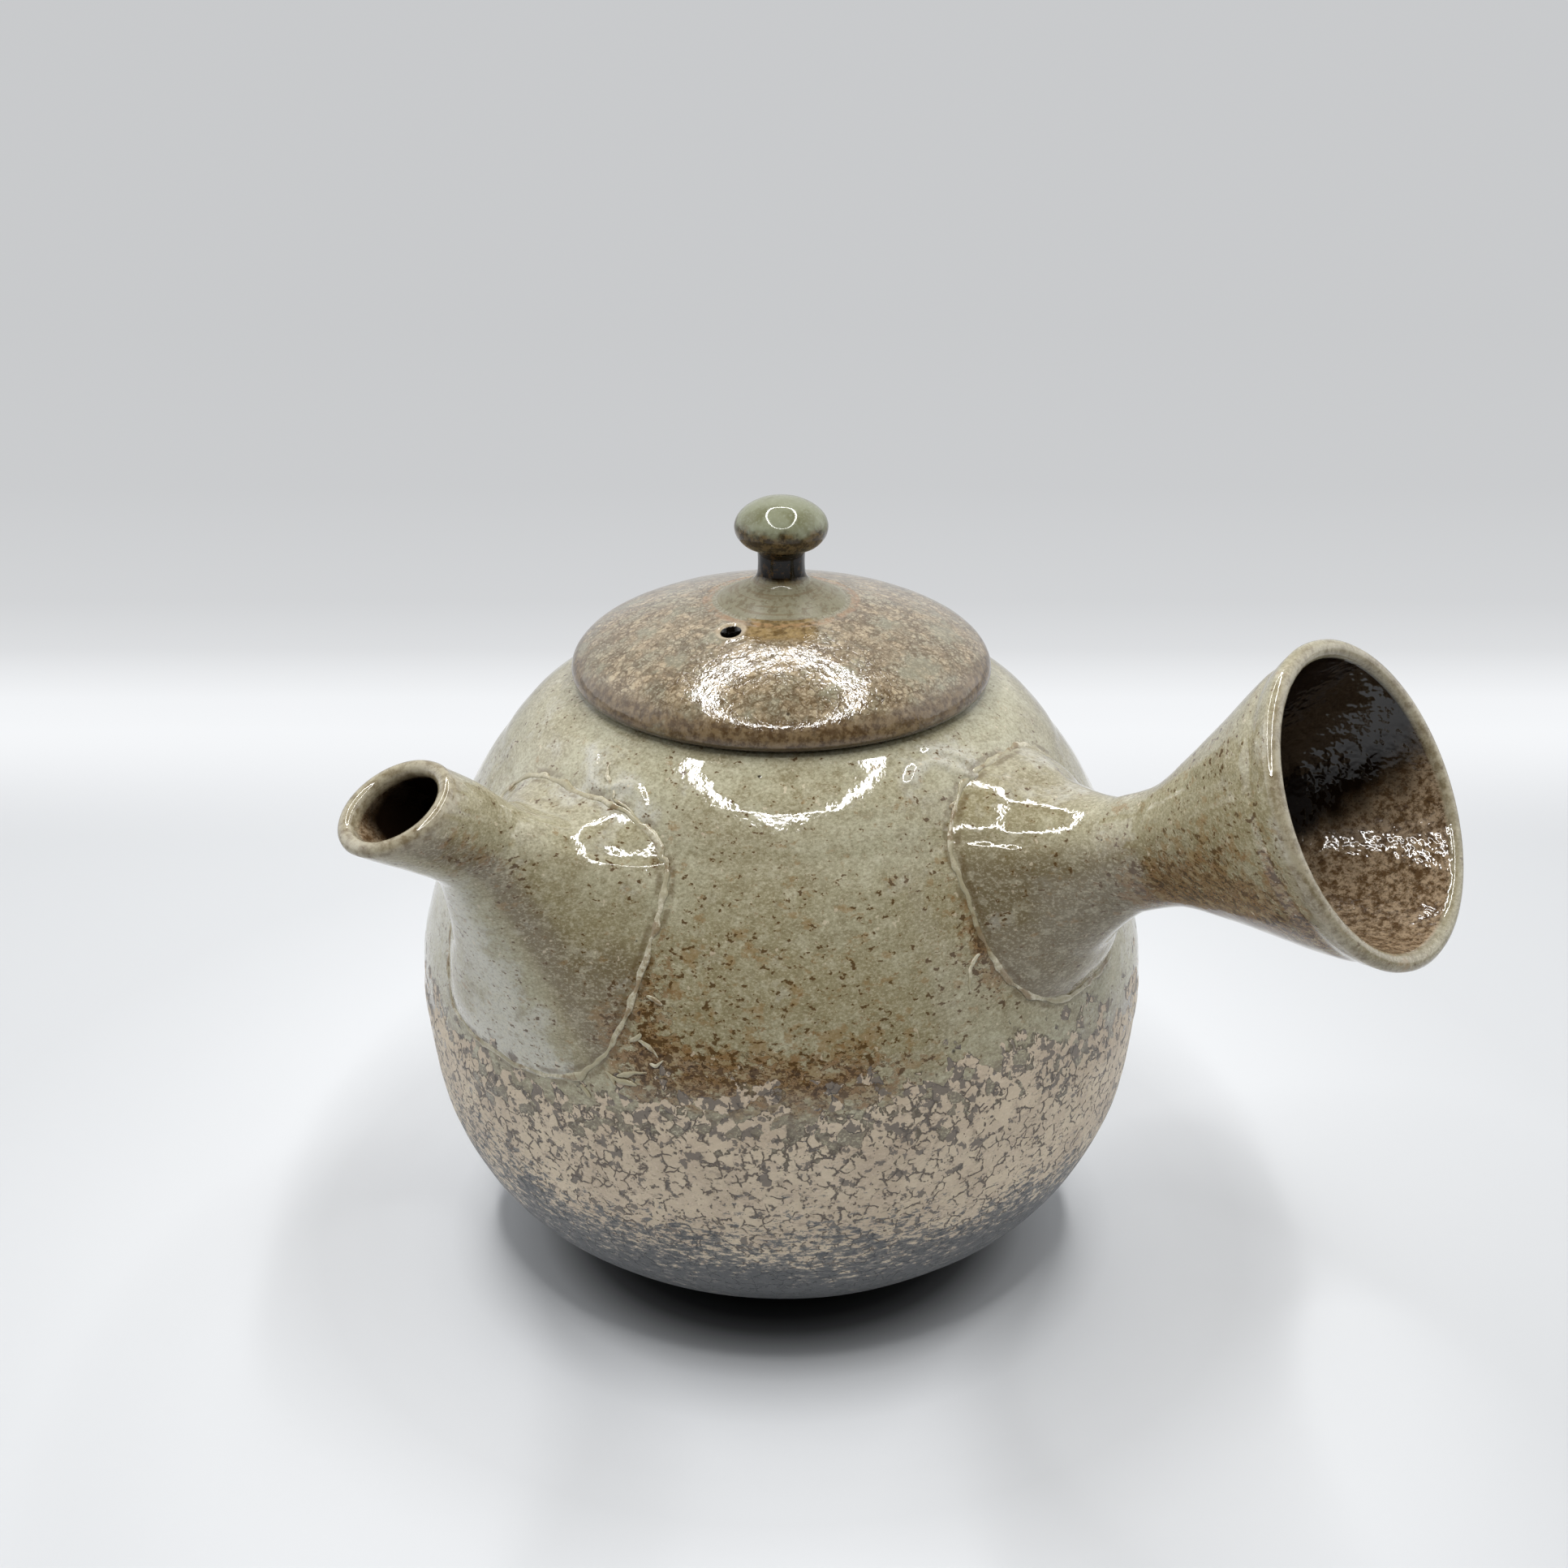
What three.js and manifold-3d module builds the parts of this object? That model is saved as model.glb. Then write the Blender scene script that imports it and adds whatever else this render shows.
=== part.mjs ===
// Kyusu: a side-handled teapot of glazed stoneware.
// Millimetres, +Z up. The origin is the centre of the base on the table.
// The spout points along -X and the hollow handle stands a little over a quarter turn from it.

import * as THREE from 'three';
import { ParametricGeometry } from 'three/addons/geometries/ParametricGeometry.js';
import { mergeVertices } from 'three/addons/utils/BufferGeometryUtils.js';
import Module from 'manifold-3d';

const wasm = await Module();
wasm.setup();

// Pot
const bodyRadius = 46;
const rimHeight = 79;
const bodyWall = 3.2;
const floorThickness = 4.5;
const footRadius = 20.5;
const footHeight = 3.2;
const footBevel = 0.7;
const mouthRadius = 22;
const rimLand = 2.2;
const rimDepth = 3.4;

// Belly outline: share of the pot radius, share of the rim height
const bellyShares = [
  [0.461, 0.046], [0.665, 0.099], [0.848, 0.191], [0.959, 0.318], [0.998, 0.458], [1, 0.519],
  [0.984, 0.597], [0.911, 0.729], [0.804, 0.852], [0.654, 0.961], [0.579, 0.991],
];

// Lid
const lidRadius = 25.7;
const lidRise = 9.1;
const lidThickness = 2.8;
const lidEdgeHeight = 1;
const lidEdgeInset = 0.7;
const lidSeatGap = 0.3;
const flangeDepth = 7;
const flangeThickness = 2.3;
const flangePlay = 0.6;
const ventRadius = 1.2;
const ventReach = 11.2;
const ventTurn = THREE.MathUtils.degToRad(15);
const domeRoundness = 1.47;
const domeFlatness = 0.9;

// Knob
const knobRadius = 5.55;
const knobNeckRadius = 2.8;
const knobSeatRadius = 7;
const knobHeight = 12.9;
const knobNeckHeight = 4.2;
const knobCapThickness = 6.6;
const knobCapStart = THREE.MathUtils.degToRad(-65);

// Spout
const spoutReach = 56.9;
const spoutMouthDrop = 0.2;
const spoutMouthRadius = 6.65;
const spoutMouthLength = 7.05;
const spoutMouthTilt = THREE.MathUtils.degToRad(63);
const spoutRise = THREE.MathUtils.degToRad(36);
const spoutWall = 1.9;
const spoutRootWidth = 16;
const spoutRootLength = 15;
const spoutRootShift = -1.5;
const spoutRootDrop = 21;
const spoutRootWall = 7.4;
const spoutNeckRadius = 5.85;
const spoutNeckRun = 11.5;
const spoutNeckRise = THREE.MathUtils.degToRad(44);
const spoutPull = 10;
const spoutFlare = 20;

// Handle
const handleTurn = THREE.MathUtils.degToRad(100.7);
const handleRise = THREE.MathUtils.degToRad(27);
const handleMouthTilt = THREE.MathUtils.degToRad(30.5);
const handleDrop = 35.5;
const handleLength = 85.6;
const handleMouthRadius = 18.1;
const handleNeckRadius = 6.65;
const handleNeckLength = 55.7;
const handleWall = 2.1;
const handleBoreStart = 49.5;
const handleRootWidth = 13.2;
const handleRootLength = 12;
const handleRootShift = -0.3;
const handleRootDrop = 16.6;
const handlePull = 9;
const handleFlare = 12;

// Trumpet outline: share of the run from neck to mouth, share of the growth in radius
const trumpetShares = [[0, 0], [0.2, 0.035], [0.4, 0.25], [0.6, 0.505], [0.8, 0.775], [1, 1]];

// Strainer
const strainerRadius = 12.6;
const strainerThickness = 1.6;
const strainerHoleRadius = 0.85;
const strainerHoleCount = 30;
const strainerSpread = THREE.MathUtils.degToRad(55);

// Slip beads round the roots, and the edge that a root shows beside them
const beadWidth = 1.2;
const beadHeight = 0.8;
const beadTopShares = [0.2, 0.7];
const rootEdge = 0.9;

// Fitting
const fitGap = 0.3;
const rootSquareness = 2.5;
const bury = 9;
const overrun = 5;

// Facets
const potSides = 56;
const lidSides = 52;
const knobSides = 28;
const spoutSides = 36;
const handleSides = 40;
const beadSides = 44;
const strainerSides = 28;
const holeSides = 6;
const ventSides = 24;
const bellySteps = 16;
const domeSteps = 9;
const spoutSteps = 10;
const trumpetSteps = 10;
const rootSteps = 6;
const lipSteps = 4;

const glaze = { color: 0x8f9078, roughness: 0.28, metalness: 0 };
const slip = { color: 0xb9b8a6, roughness: 0.4, metalness: 0 };
const bareClay = { color: 0x8a7262, roughness: 0.6, metalness: 0 };
const lidGlaze = { color: 0x9a8572, roughness: 0.25, metalness: 0 };

// Turn a closed geometry into a solid that can be joined and cut
function toSolid(source) {
  const bare = source.index ? source.clone() : mergeVertices(source);
  bare.deleteAttribute('normal');
  bare.deleteAttribute('uv');
  const merged = mergeVertices(bare);
  const corners = merged.index.array;
  const kept = [];
  for (let i = 0; i < corners.length; i += 3) {
    const [a, b, c] = [corners[i], corners[i + 1], corners[i + 2]];
    if (a !== b && b !== c && c !== a) {
      kept.push(a, b, c);
    }
  }
  return new wasm.Manifold(new wasm.Mesh({
    numProp: 3,
    vertProperties: new Float32Array(merged.attributes.position.array),
    triVerts: new Uint32Array(kept),
  }));
}

// Turn a solid back into a geometry
function toGeometry(solid) {
  const mesh = solid.getMesh();
  const geometry = new THREE.BufferGeometry();
  geometry.setAttribute('position', new THREE.BufferAttribute(mesh.vertProperties, 3));
  geometry.setIndex(new THREE.BufferAttribute(mesh.triVerts, 1));
  geometry.computeVertexNormals();
  return geometry;
}

// A turned solid from an outline of radius and height that starts and ends on the axis
function turned(outline, sides) {
  return new THREE.LatheGeometry(outline, sides).rotateX(Math.PI / 2);
}

// A turned ring, whose outline closes on itself
function turnedRing(outline, sides) {
  return turned([...outline, outline[0].clone()], sides);
}

// A solid through a row of rings. Each ring is a function from an angle to a point.
// A tube's last ring joins its first one, and a capped solid starts and ends in a point.
function ringSolid(rings, sides) {
  const last = rings.length - 1;
  const place = (u, v, target) => {
    target.copy(rings[Math.round(v * last)]((u % 1) * 2 * Math.PI));
  };
  return toSolid(new ParametricGeometry(place, sides, last));
}

function tubeSolid(rings, sides) {
  return ringSolid([...rings, rings[0]], sides);
}

function cappedSolid(start, rings, end, sides) {
  return ringSolid([() => start, ...rings, () => end], sides);
}

function shares(count) {
  return Array.from({ length: count + 1 }, (_, i) => i / count);
}

// Push an outline out along its normals, or in with a negative distance
function offsetOutline(points, distance) {
  return points.map((point, i) => {
    const before = points[Math.max(i - 1, 0)];
    const after = points[Math.min(i + 1, points.length - 1)];
    const along = after.clone().sub(before).normalize();
    return new THREE.Vector2(point.x + along.y * distance, point.y - along.x * distance);
  });
}

// Pot outline
const bellyCurve = new THREE.SplineCurve(
  bellyShares.map(([radius, height]) => new THREE.Vector2(radius * bodyRadius, height * rimHeight)),
);
const belly = bellyCurve.getPoints(bellySteps);
const lidSeatRadius = mouthRadius + rimLand;

function potRadiusAt(height) {
  for (let i = 1; i < belly.length; i += 1) {
    const [low, high] = [belly[i - 1], belly[i]];
    if (height <= high.y || i === belly.length - 1) {
      return THREE.MathUtils.mapLinear(height, low.y, high.y, low.x, high.x);
    }
  }
  return bodyRadius;
}

// The filled pot, grown by a clearance
function potEnvelope(clearance) {
  const grown = offsetOutline(belly, clearance);
  return toSolid(turned([
    new THREE.Vector2(0, -clearance),
    new THREE.Vector2(footRadius + clearance, -clearance),
    ...grown,
    new THREE.Vector2(lidSeatRadius, rimHeight + clearance),
    new THREE.Vector2(0, rimHeight + clearance),
  ], potSides));
}

// The space inside the pot, shrunk by a clearance
function potHollow(clearance) {
  const inner = offsetOutline(belly, -(bodyWall + clearance)).filter(
    (point) => point.y > floorThickness + clearance + footBevel && point.y < rimHeight - rimDepth
      && point.x > mouthRadius,
  );
  return [
    new THREE.Vector2(0, floorThickness + clearance),
    new THREE.Vector2(footRadius - footBevel, floorThickness + clearance),
    ...inner,
    new THREE.Vector2(mouthRadius - clearance, rimHeight - rimDepth),
  ];
}

// A point on the pot's outside, at a sideways reach from the -X direction and a height
function onPot(sideways, height, lift) {
  const radius = potRadiusAt(height) + lift;
  const depth = Math.sqrt(Math.max(radius * radius - sideways * sideways, 0));
  return new THREE.Vector3(-depth, sideways, height);
}

// Rounded-square cosine and sine
function square(value) {
  return Math.sign(value) * Math.abs(value) ** (2 / rootSquareness);
}

// The ring where a spout or handle meets the pot, grown by a distance and lifted off the surface
function rootRing(root, grow, lift) {
  return (angle) => onPot(
    root.shift + (root.width + grow) * square(Math.cos(angle)),
    root.height + (root.length + grow) * square(Math.sin(angle)),
    lift,
  );
}

// A smooth step between two points that leaves along one vector and arrives along another
function smoothStep(start, leaving, end, arriving, share) {
  const [a, b] = [share * share, share * share * share];
  return new THREE.Vector3()
    .addScaledVector(start, 2 * b - 3 * a + 1)
    .addScaledVector(leaving, b - 2 * a + share)
    .addScaledVector(end, 3 * a - 2 * b)
    .addScaledVector(arriving, b - a);
}

// A flared neck that runs from a ring to the pot, square to the ring and flush with the pot
function flaredNeck(ring, inward, pull, root, flare, share) {
  const leaving = inward.clone().multiplyScalar(pull);
  return (angle) => {
    const end = rootRing(root, 0, rootEdge)(angle);
    const arriving = rootRing(root, fitGap, rootEdge)(angle).sub(end).setLength(flare);
    return smoothStep(ring(angle), leaving, end, arriving, share);
  };
}

// Move a ring towards a middle point by a wall thickness
function shrunkRing(ring, middle, wall) {
  return (angle) => {
    const point = ring(angle);
    const reach = point.distanceTo(middle);
    return point.lerp(middle, Math.min(wall / reach, 1));
  };
}

function ringMiddle(ring) {
  const middle = new THREE.Vector3();
  const steps = shares(spoutSides).slice(1);
  steps.forEach((step) => middle.add(ring(step * 2 * Math.PI)));
  return middle.divideScalar(steps.length);
}

// A half-round lip that joins an outer ring to an inner ring
function roundLip(outer, inner, axis) {
  return shares(lipSteps).slice(1, -1).map((share) => (angle) => {
    const [from, to] = [outer(angle), inner(angle)];
    const reach = from.distanceTo(to) / 2;
    const turn = share * Math.PI;
    return from.clone().add(to).multiplyScalar(0.5)
      .addScaledVector(from.clone().sub(to), Math.cos(turn) / 2)
      .addScaledVector(axis, Math.sin(turn) * reach);
  });
}

// An ellipse about a centre, across two directions
function ellipseRing(centre, across, acrossRadius, up, upRadius) {
  return (angle) => centre.clone()
    .addScaledVector(across, acrossRadius * Math.cos(angle))
    .addScaledVector(up, upRadius * Math.sin(angle));
}

// Spout. Its heights, and those of the handle, are counted down from the rim.
const spoutRootHeight = rimHeight - spoutRootDrop;
const spoutMouthHeight = rimHeight - spoutMouthDrop;
const spoutRoot = {
  width: spoutRootWidth, length: spoutRootLength, shift: spoutRootShift, height: spoutRootHeight,
};
const sideways = new THREE.Vector3(0, 1, 0);
const spoutCentre = new THREE.Vector3(-spoutReach, 0, spoutMouthHeight);
const spoutMouthAxis = new THREE.Vector3(-Math.cos(spoutMouthTilt), 0, Math.sin(spoutMouthTilt));
const spoutMouthUp = new THREE.Vector3(Math.sin(spoutMouthTilt), 0, Math.cos(spoutMouthTilt));
const spoutInward = new THREE.Vector3(Math.cos(spoutRise), 0, -Math.sin(spoutRise));
const spoutNeckInward = new THREE.Vector3(Math.cos(spoutNeckRise), 0, -Math.sin(spoutNeckRise));
const spoutNeckUp = new THREE.Vector3(Math.sin(spoutNeckRise), 0, Math.cos(spoutNeckRise));
const spoutMouth = ellipseRing(spoutCentre, sideways, spoutMouthRadius, spoutMouthUp, spoutMouthLength);

const spoutNeck = ellipseRing(
  spoutCentre.clone().addScaledVector(spoutInward, spoutNeckRun),
  sideways,
  spoutNeckRadius,
  spoutNeckUp,
  spoutNeckRadius,
);

// A section of the spout: a share from 0 to 1 is the tube, and one from 1 to 2 is the flared root
function spoutOuter(share) {
  if (share > 1) {
    return flaredNeck(spoutNeck, spoutNeckInward, spoutPull, spoutRoot, spoutFlare, share - 1);
  }
  const leaving = spoutInward.clone().multiplyScalar(spoutNeckRun);
  const arriving = spoutNeckInward.clone().multiplyScalar(spoutNeckRun);
  return (angle) => smoothStep(spoutMouth(angle), leaving, spoutNeck(angle), arriving, share);
}

function spoutInner(share) {
  const outer = spoutOuter(share);
  const wall = THREE.MathUtils.lerp(spoutWall, spoutRootWall, Math.max(share - 1, 0) ** 2);
  return shrunkRing(outer, ringMiddle(outer), wall);
}

function pushedRing(ring, distance) {
  return (angle) => ring(angle).add(new THREE.Vector3(distance, 0, 0));
}

function makeSpout() {
  const steps = shares(spoutSteps).map((share) => 2 * share);
  const outer = steps.map(spoutOuter);
  const inner = steps.map(spoutInner).reverse();
  const buried = [pushedRing(spoutOuter(2), bury), pushedRing(spoutInner(2), bury)];
  const lip = roundLip(inner[inner.length - 1], outer[0], spoutMouthAxis);
  const blank = tubeSolid([...outer, ...buried, ...inner, ...lip], spoutSides);
  return blank.subtract(potEnvelope(fitGap));
}

// The passage from the pot into the spout
function spoutPassage() {
  const outside = pushedRing(spoutInner(2), -overrun);
  const inside = pushedRing(spoutInner(2), bury);
  return cappedSolid(ringMiddle(outside), [outside, inside], ringMiddle(inside), spoutSides);
}

// Pot body, with the passage cut through its wall
function makePot() {
  const hollow = potHollow(0);
  const blank = toSolid(turned([
    new THREE.Vector2(0, 0),
    new THREE.Vector2(footRadius - footBevel, 0),
    new THREE.Vector2(footRadius, footBevel),
    new THREE.Vector2(footRadius, footHeight),
    ...belly,
    new THREE.Vector2(lidSeatRadius, rimHeight),
    new THREE.Vector2(mouthRadius, rimHeight),
    ...hollow.reverse(),
  ], potSides));
  return blank.subtract(spoutPassage());
}

// Strainer: a pierced dome over the passage, inside the pot
function makeStrainer() {
  const centre = onPot(spoutRootShift, spoutRootHeight, -bodyWall);
  const dome = (radius) => toSolid(new THREE.SphereGeometry(radius, strainerSides, strainerSides / 2))
    .translate([centre.x, centre.y, centre.z]);
  const shell = dome(strainerRadius).subtract(dome(strainerRadius - strainerThickness));
  const hollow = toSolid(turned([
    ...potHollow(fitGap),
    new THREE.Vector2(0, rimHeight - rimDepth),
  ], potSides));
  const holes = shares(strainerHoleCount).slice(1).map((share, i) => {
    const lean = Math.sqrt(share) * strainerSpread;
    const turn = i * Math.PI * (3 - Math.sqrt(5));
    const drill = new THREE.CylinderGeometry(
      strainerHoleRadius, strainerHoleRadius, 2 * strainerThickness, holeSides,
    );
    drill.rotateZ(-Math.PI / 2);
    drill.translate(strainerRadius - strainerThickness / 2, 0, 0);
    drill.rotateY(lean);
    drill.rotateX(turn);
    drill.translate(centre.x, centre.y, centre.z);
    return toSolid(drill);
  });
  return shell.intersect(hollow).subtract(wasm.Manifold.union(holes));
}

// Handle: a hollow trumpet along +X from the pot axis, turned to its place at the end
const handleHeight = rimHeight - handleDrop;
const handleRootHeight = rimHeight - handleRootDrop;
const handleRoot = {
  width: handleRootWidth, length: handleRootLength, shift: handleRootShift, height: handleRootHeight,
};
const handleOut = new THREE.Vector3(-Math.cos(handleRise), 0, Math.sin(handleRise));
const trumpetCurve = new THREE.SplineCurve(
  trumpetShares.map(([run, growth]) => new THREE.Vector2(
    THREE.MathUtils.lerp(handleNeckLength, handleLength, run),
    THREE.MathUtils.lerp(handleNeckRadius, handleMouthRadius, growth),
  )),
);

// A round section, which leans from square to the neck towards the tilt of the mouth
function trumpetRing(length, radius) {
  const centre = new THREE.Vector3(0, 0, handleHeight).addScaledVector(handleOut, length);
  const run = Math.max((length - handleNeckLength) / (handleLength - handleNeckLength), 0);
  const tilt = THREE.MathUtils.lerp(handleRise, handleMouthTilt, run);
  const up = new THREE.Vector3(Math.sin(tilt), 0, Math.cos(tilt));
  return ellipseRing(centre, sideways, radius, up, radius);
}

function makeHandle() {
  const trumpet = trumpetCurve.getPoints(trumpetSteps).reverse();
  const outer = trumpet.map(({ x, y }) => trumpetRing(x, y));
  const neck = outer[outer.length - 1];
  const inward = handleOut.clone().negate();
  const root = shares(rootSteps).slice(1).map(
    (share) => flaredNeck(neck, inward, handlePull, handleRoot, handleFlare, share),
  );
  const boreRadius = handleNeckRadius - handleWall;
  const boreEnd = new THREE.Vector3(0, 0, handleHeight)
    .addScaledVector(handleOut, handleBoreStart - boreRadius);
  const inner = trumpet.map(({ x, y }) => trumpetRing(x, y - handleWall)).reverse();
  inner.unshift(trumpetRing(handleBoreStart - boreRadius / 2, boreRadius * Math.sqrt(3) / 2));
  inner.splice(1, 0, trumpetRing(handleBoreStart, boreRadius));
  const lip = roundLip(inner[inner.length - 1], outer[0], handleOut);
  const buried = pushedRing(root[root.length - 1], bury);
  const rings = [...inner, ...lip, ...outer, ...root, buried];
  const blank = cappedSolid(boreEnd, rings, ringMiddle(buried), handleSides);
  return blank.subtract(potEnvelope(fitGap));
}

// A bead of slip on the pot, just outside a root
function makeBead(root) {
  const [topStart, topEnd] = beadTopShares;
  const rings = [
    rootRing(root, fitGap + beadWidth * topStart, fitGap + beadHeight),
    rootRing(root, fitGap + beadWidth * topEnd, fitGap + beadHeight),
    rootRing(root, fitGap + beadWidth, fitGap),
    rootRing(root, fitGap, fitGap),
  ];
  return tubeSolid(rings, beadSides).subtract(potEnvelope(fitGap / 2));
}

// Lid
const lidBase = rimHeight + lidSeatGap;
const flangeRadius = mouthRadius - flangePlay;
const hollowRadius = flangeRadius - flangeThickness;
const lidShoulder = lidBase + lidEdgeHeight;
const domePoints = shares(domeSteps).map((share) => {
  const turn = share * Math.PI / 2;
  return new THREE.Vector2(
    lidRadius * Math.cos(turn) ** domeRoundness,
    lidShoulder + lidRise * Math.sin(turn) ** domeFlatness,
  );
});

function domeHeightAt(radius) {
  const turn = Math.acos((radius / lidRadius) ** (1 / domeRoundness));
  return lidShoulder + lidRise * Math.sin(turn) ** domeFlatness;
}

const knobSeatHeight = domeHeightAt(knobSeatRadius);

function makeLidDome() {
  const crown = domePoints.filter((point) => point.x > knobSeatRadius);
  const ceiling = domePoints
    .filter((point) => point.x < hollowRadius && point.y - lidThickness > lidBase)
    .map((point) => new THREE.Vector2(point.x, Math.min(point.y, knobSeatHeight) - lidThickness));
  const blank = toSolid(turned([
    new THREE.Vector2(0, knobSeatHeight - lidThickness),
    ...ceiling.filter((point) => point.x > knobSeatRadius).reverse(),
    new THREE.Vector2(hollowRadius, lidBase),
    new THREE.Vector2(lidRadius - lidEdgeInset, lidBase),
    ...crown,
    new THREE.Vector2(knobSeatRadius, knobSeatHeight),
    new THREE.Vector2(0, knobSeatHeight),
  ], lidSides));
  const drillLength = lidRise + 2 * overrun;
  const drill = new THREE.CylinderGeometry(ventRadius, ventRadius, drillLength, ventSides);
  drill.rotateX(Math.PI / 2);
  drill.translate(-ventReach, 0, lidBase + drillLength / 2);
  drill.rotateZ(ventTurn);
  return blank.subtract(toSolid(drill));
}

function makeLidFlange() {
  return toSolid(turnedRing([
    new THREE.Vector2(flangeRadius, lidBase - flangeDepth),
    new THREE.Vector2(flangeRadius, lidBase),
    new THREE.Vector2(hollowRadius, lidBase),
    new THREE.Vector2(hollowRadius, lidBase - flangeDepth),
  ], lidSides));
}

function makeKnob() {
  const neckCurve = new THREE.QuadraticBezierCurve(
    new THREE.Vector2(knobSeatRadius, knobSeatHeight),
    new THREE.Vector2(knobNeckRadius, knobSeatHeight),
    new THREE.Vector2(knobNeckRadius, knobSeatHeight + knobNeckHeight),
  );
  const capMiddle = knobSeatHeight + knobHeight - knobCapThickness / 2;
  const cap = shares(domeSteps).slice(0, -1).map((share) => {
    const turn = THREE.MathUtils.lerp(knobCapStart, Math.PI / 2, share);
    const height = capMiddle + knobCapThickness / 2 * Math.sin(turn);
    return new THREE.Vector2(knobRadius * Math.cos(turn), height);
  });
  return toSolid(turned([
    new THREE.Vector2(0, knobSeatHeight),
    ...neckCurve.getPoints(rootSteps),
    ...cap,
    new THREE.Vector2(0, knobSeatHeight + knobHeight),
  ], knobSides));
}

function makeMesh(name, solid, finish) {
  const mesh = new THREE.Mesh(toGeometry(solid), new THREE.MeshStandardMaterial(finish));
  mesh.name = name;
  return mesh;
}

const handleGroup = new THREE.Group();
handleGroup.rotation.z = handleTurn;
handleGroup.add(
  makeMesh('handle', makeHandle(), glaze),
  makeMesh('handle_seam', makeBead(handleRoot), slip),
);

const kyusu = new THREE.Group();
kyusu.add(
  makeMesh('pot_body', makePot(), glaze),
  makeMesh('spout', makeSpout(), glaze),
  makeMesh('spout_seam', makeBead(spoutRoot), slip),
  makeMesh('strainer', makeStrainer(), bareClay),
  makeMesh('lid_dome', makeLidDome(), lidGlaze),
  makeMesh('lid_flange', makeLidFlange(), bareClay),
  makeMesh('lid_knob', makeKnob(), lidGlaze),
  handleGroup,
);

export default kyusu;
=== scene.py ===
"""Looks of a side-handled teapot in glazed stoneware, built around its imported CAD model.

Lengths are in millimetres and turned into metres where a mesh is made.
A turn is an angle about the pot's axis, from the spout towards the handle.
"""

import functools
import math

import bmesh
import bpy
import numpy as np
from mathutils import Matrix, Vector, noise


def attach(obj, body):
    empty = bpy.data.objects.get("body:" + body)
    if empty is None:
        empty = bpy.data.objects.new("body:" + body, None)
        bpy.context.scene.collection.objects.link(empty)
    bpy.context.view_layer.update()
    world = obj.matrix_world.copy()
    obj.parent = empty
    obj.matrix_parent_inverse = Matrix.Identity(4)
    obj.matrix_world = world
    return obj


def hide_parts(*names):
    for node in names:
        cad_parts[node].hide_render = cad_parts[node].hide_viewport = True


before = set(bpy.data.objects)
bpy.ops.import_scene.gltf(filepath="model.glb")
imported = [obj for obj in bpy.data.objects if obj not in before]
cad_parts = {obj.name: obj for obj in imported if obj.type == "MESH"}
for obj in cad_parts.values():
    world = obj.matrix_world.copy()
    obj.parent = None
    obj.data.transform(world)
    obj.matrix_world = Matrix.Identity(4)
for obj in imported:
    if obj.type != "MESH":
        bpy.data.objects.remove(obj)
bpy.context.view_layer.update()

MM = 0.001

# Pot
BODY_RADIUS = 46.0
RIM_HEIGHT = 79.0
BODY_WALL = 3.2
FLOOR_THICKNESS = 4.5
INNER_FLOOR = 5.2
INNER_SHOULDER = (22.3, 75.6)
POT_SIDES = 448
POT_ROWS = 190
BELLY_STEPS = 400
INNER_STEP = 4
BELLY_SHARES = np.array([
    (0.461, 0.046), (0.665, 0.099), (0.848, 0.191), (0.959, 0.318), (0.998, 0.458), (1, 0.519),
    (0.984, 0.597), (0.911, 0.729), (0.804, 0.852), (0.654, 0.961), (0.579, 0.991),
])
SHOULDER_START = 70.6
SHOULDER_STEPS = 70
SHOULDER = [
    (33.6, 72.2), (31.75, 74.4), (31.05, 75.12), (29.9, 76.1), (28.7, 76.95), (27.5, 77.64), (26.4, 78.16),
    (25.6, 78.48),
]
FOOT = [
    (9.0, 0.0), (16.0, 0.0), (19.7, 0.0), (20.2, 0.12), (20.5, 0.7), (20.5, 1.8), (20.6, 2.9), (20.85, 3.4),
]
RIM = [
    (24.7, 78.75), (24.6, 78.9), (24.2, 78.98), (23.1, 79.0), (22.5, 79.0), (22.15, 78.85), (22.0, 78.5),
    (22.0, 76.0),
]
BARE_RIM_ROWS = 4
BELLY_FADE = (2, 0.7)
WELL = [(19.0, 4.6), (16.5, FLOOR_THICKNESS), (8.0, FLOOR_THICKNESS)]
PASSAGE = ((-5, 0, 0), (9, 0, 0))
PASSAGE_SIDES = 72
SLOPE_REACH = 0.5

# Spout
SPOUT_REACH = 56.9
SPOUT_MOUTH_HEIGHT = 78.8
SPOUT_MOUTH_RADIUS = 6.65
SPOUT_MOUTH_LENGTH = 7.05
SPOUT_MOUTH_TILT = math.radians(63)
SPOUT_RISE = math.radians(36)
SPOUT_WALL = 1.9
SPOUT_ROOT_WALL = 7.4
SPOUT_NECK_RADIUS = 5.85
SPOUT_NECK_RUN = 11.5
SPOUT_NECK_RISE = math.radians(44)
SPOUT_SIDES = 200
SPOUT_ROWS = (26, 60)
SPOUT_ROOT = {
    "width": 16.0, "length": 15.0, "shift": -1.5, "height": 58.0, "pull": 10.0, "flare": 20.0, "swell": 0.5,
    "square": 3.0,
}

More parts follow.
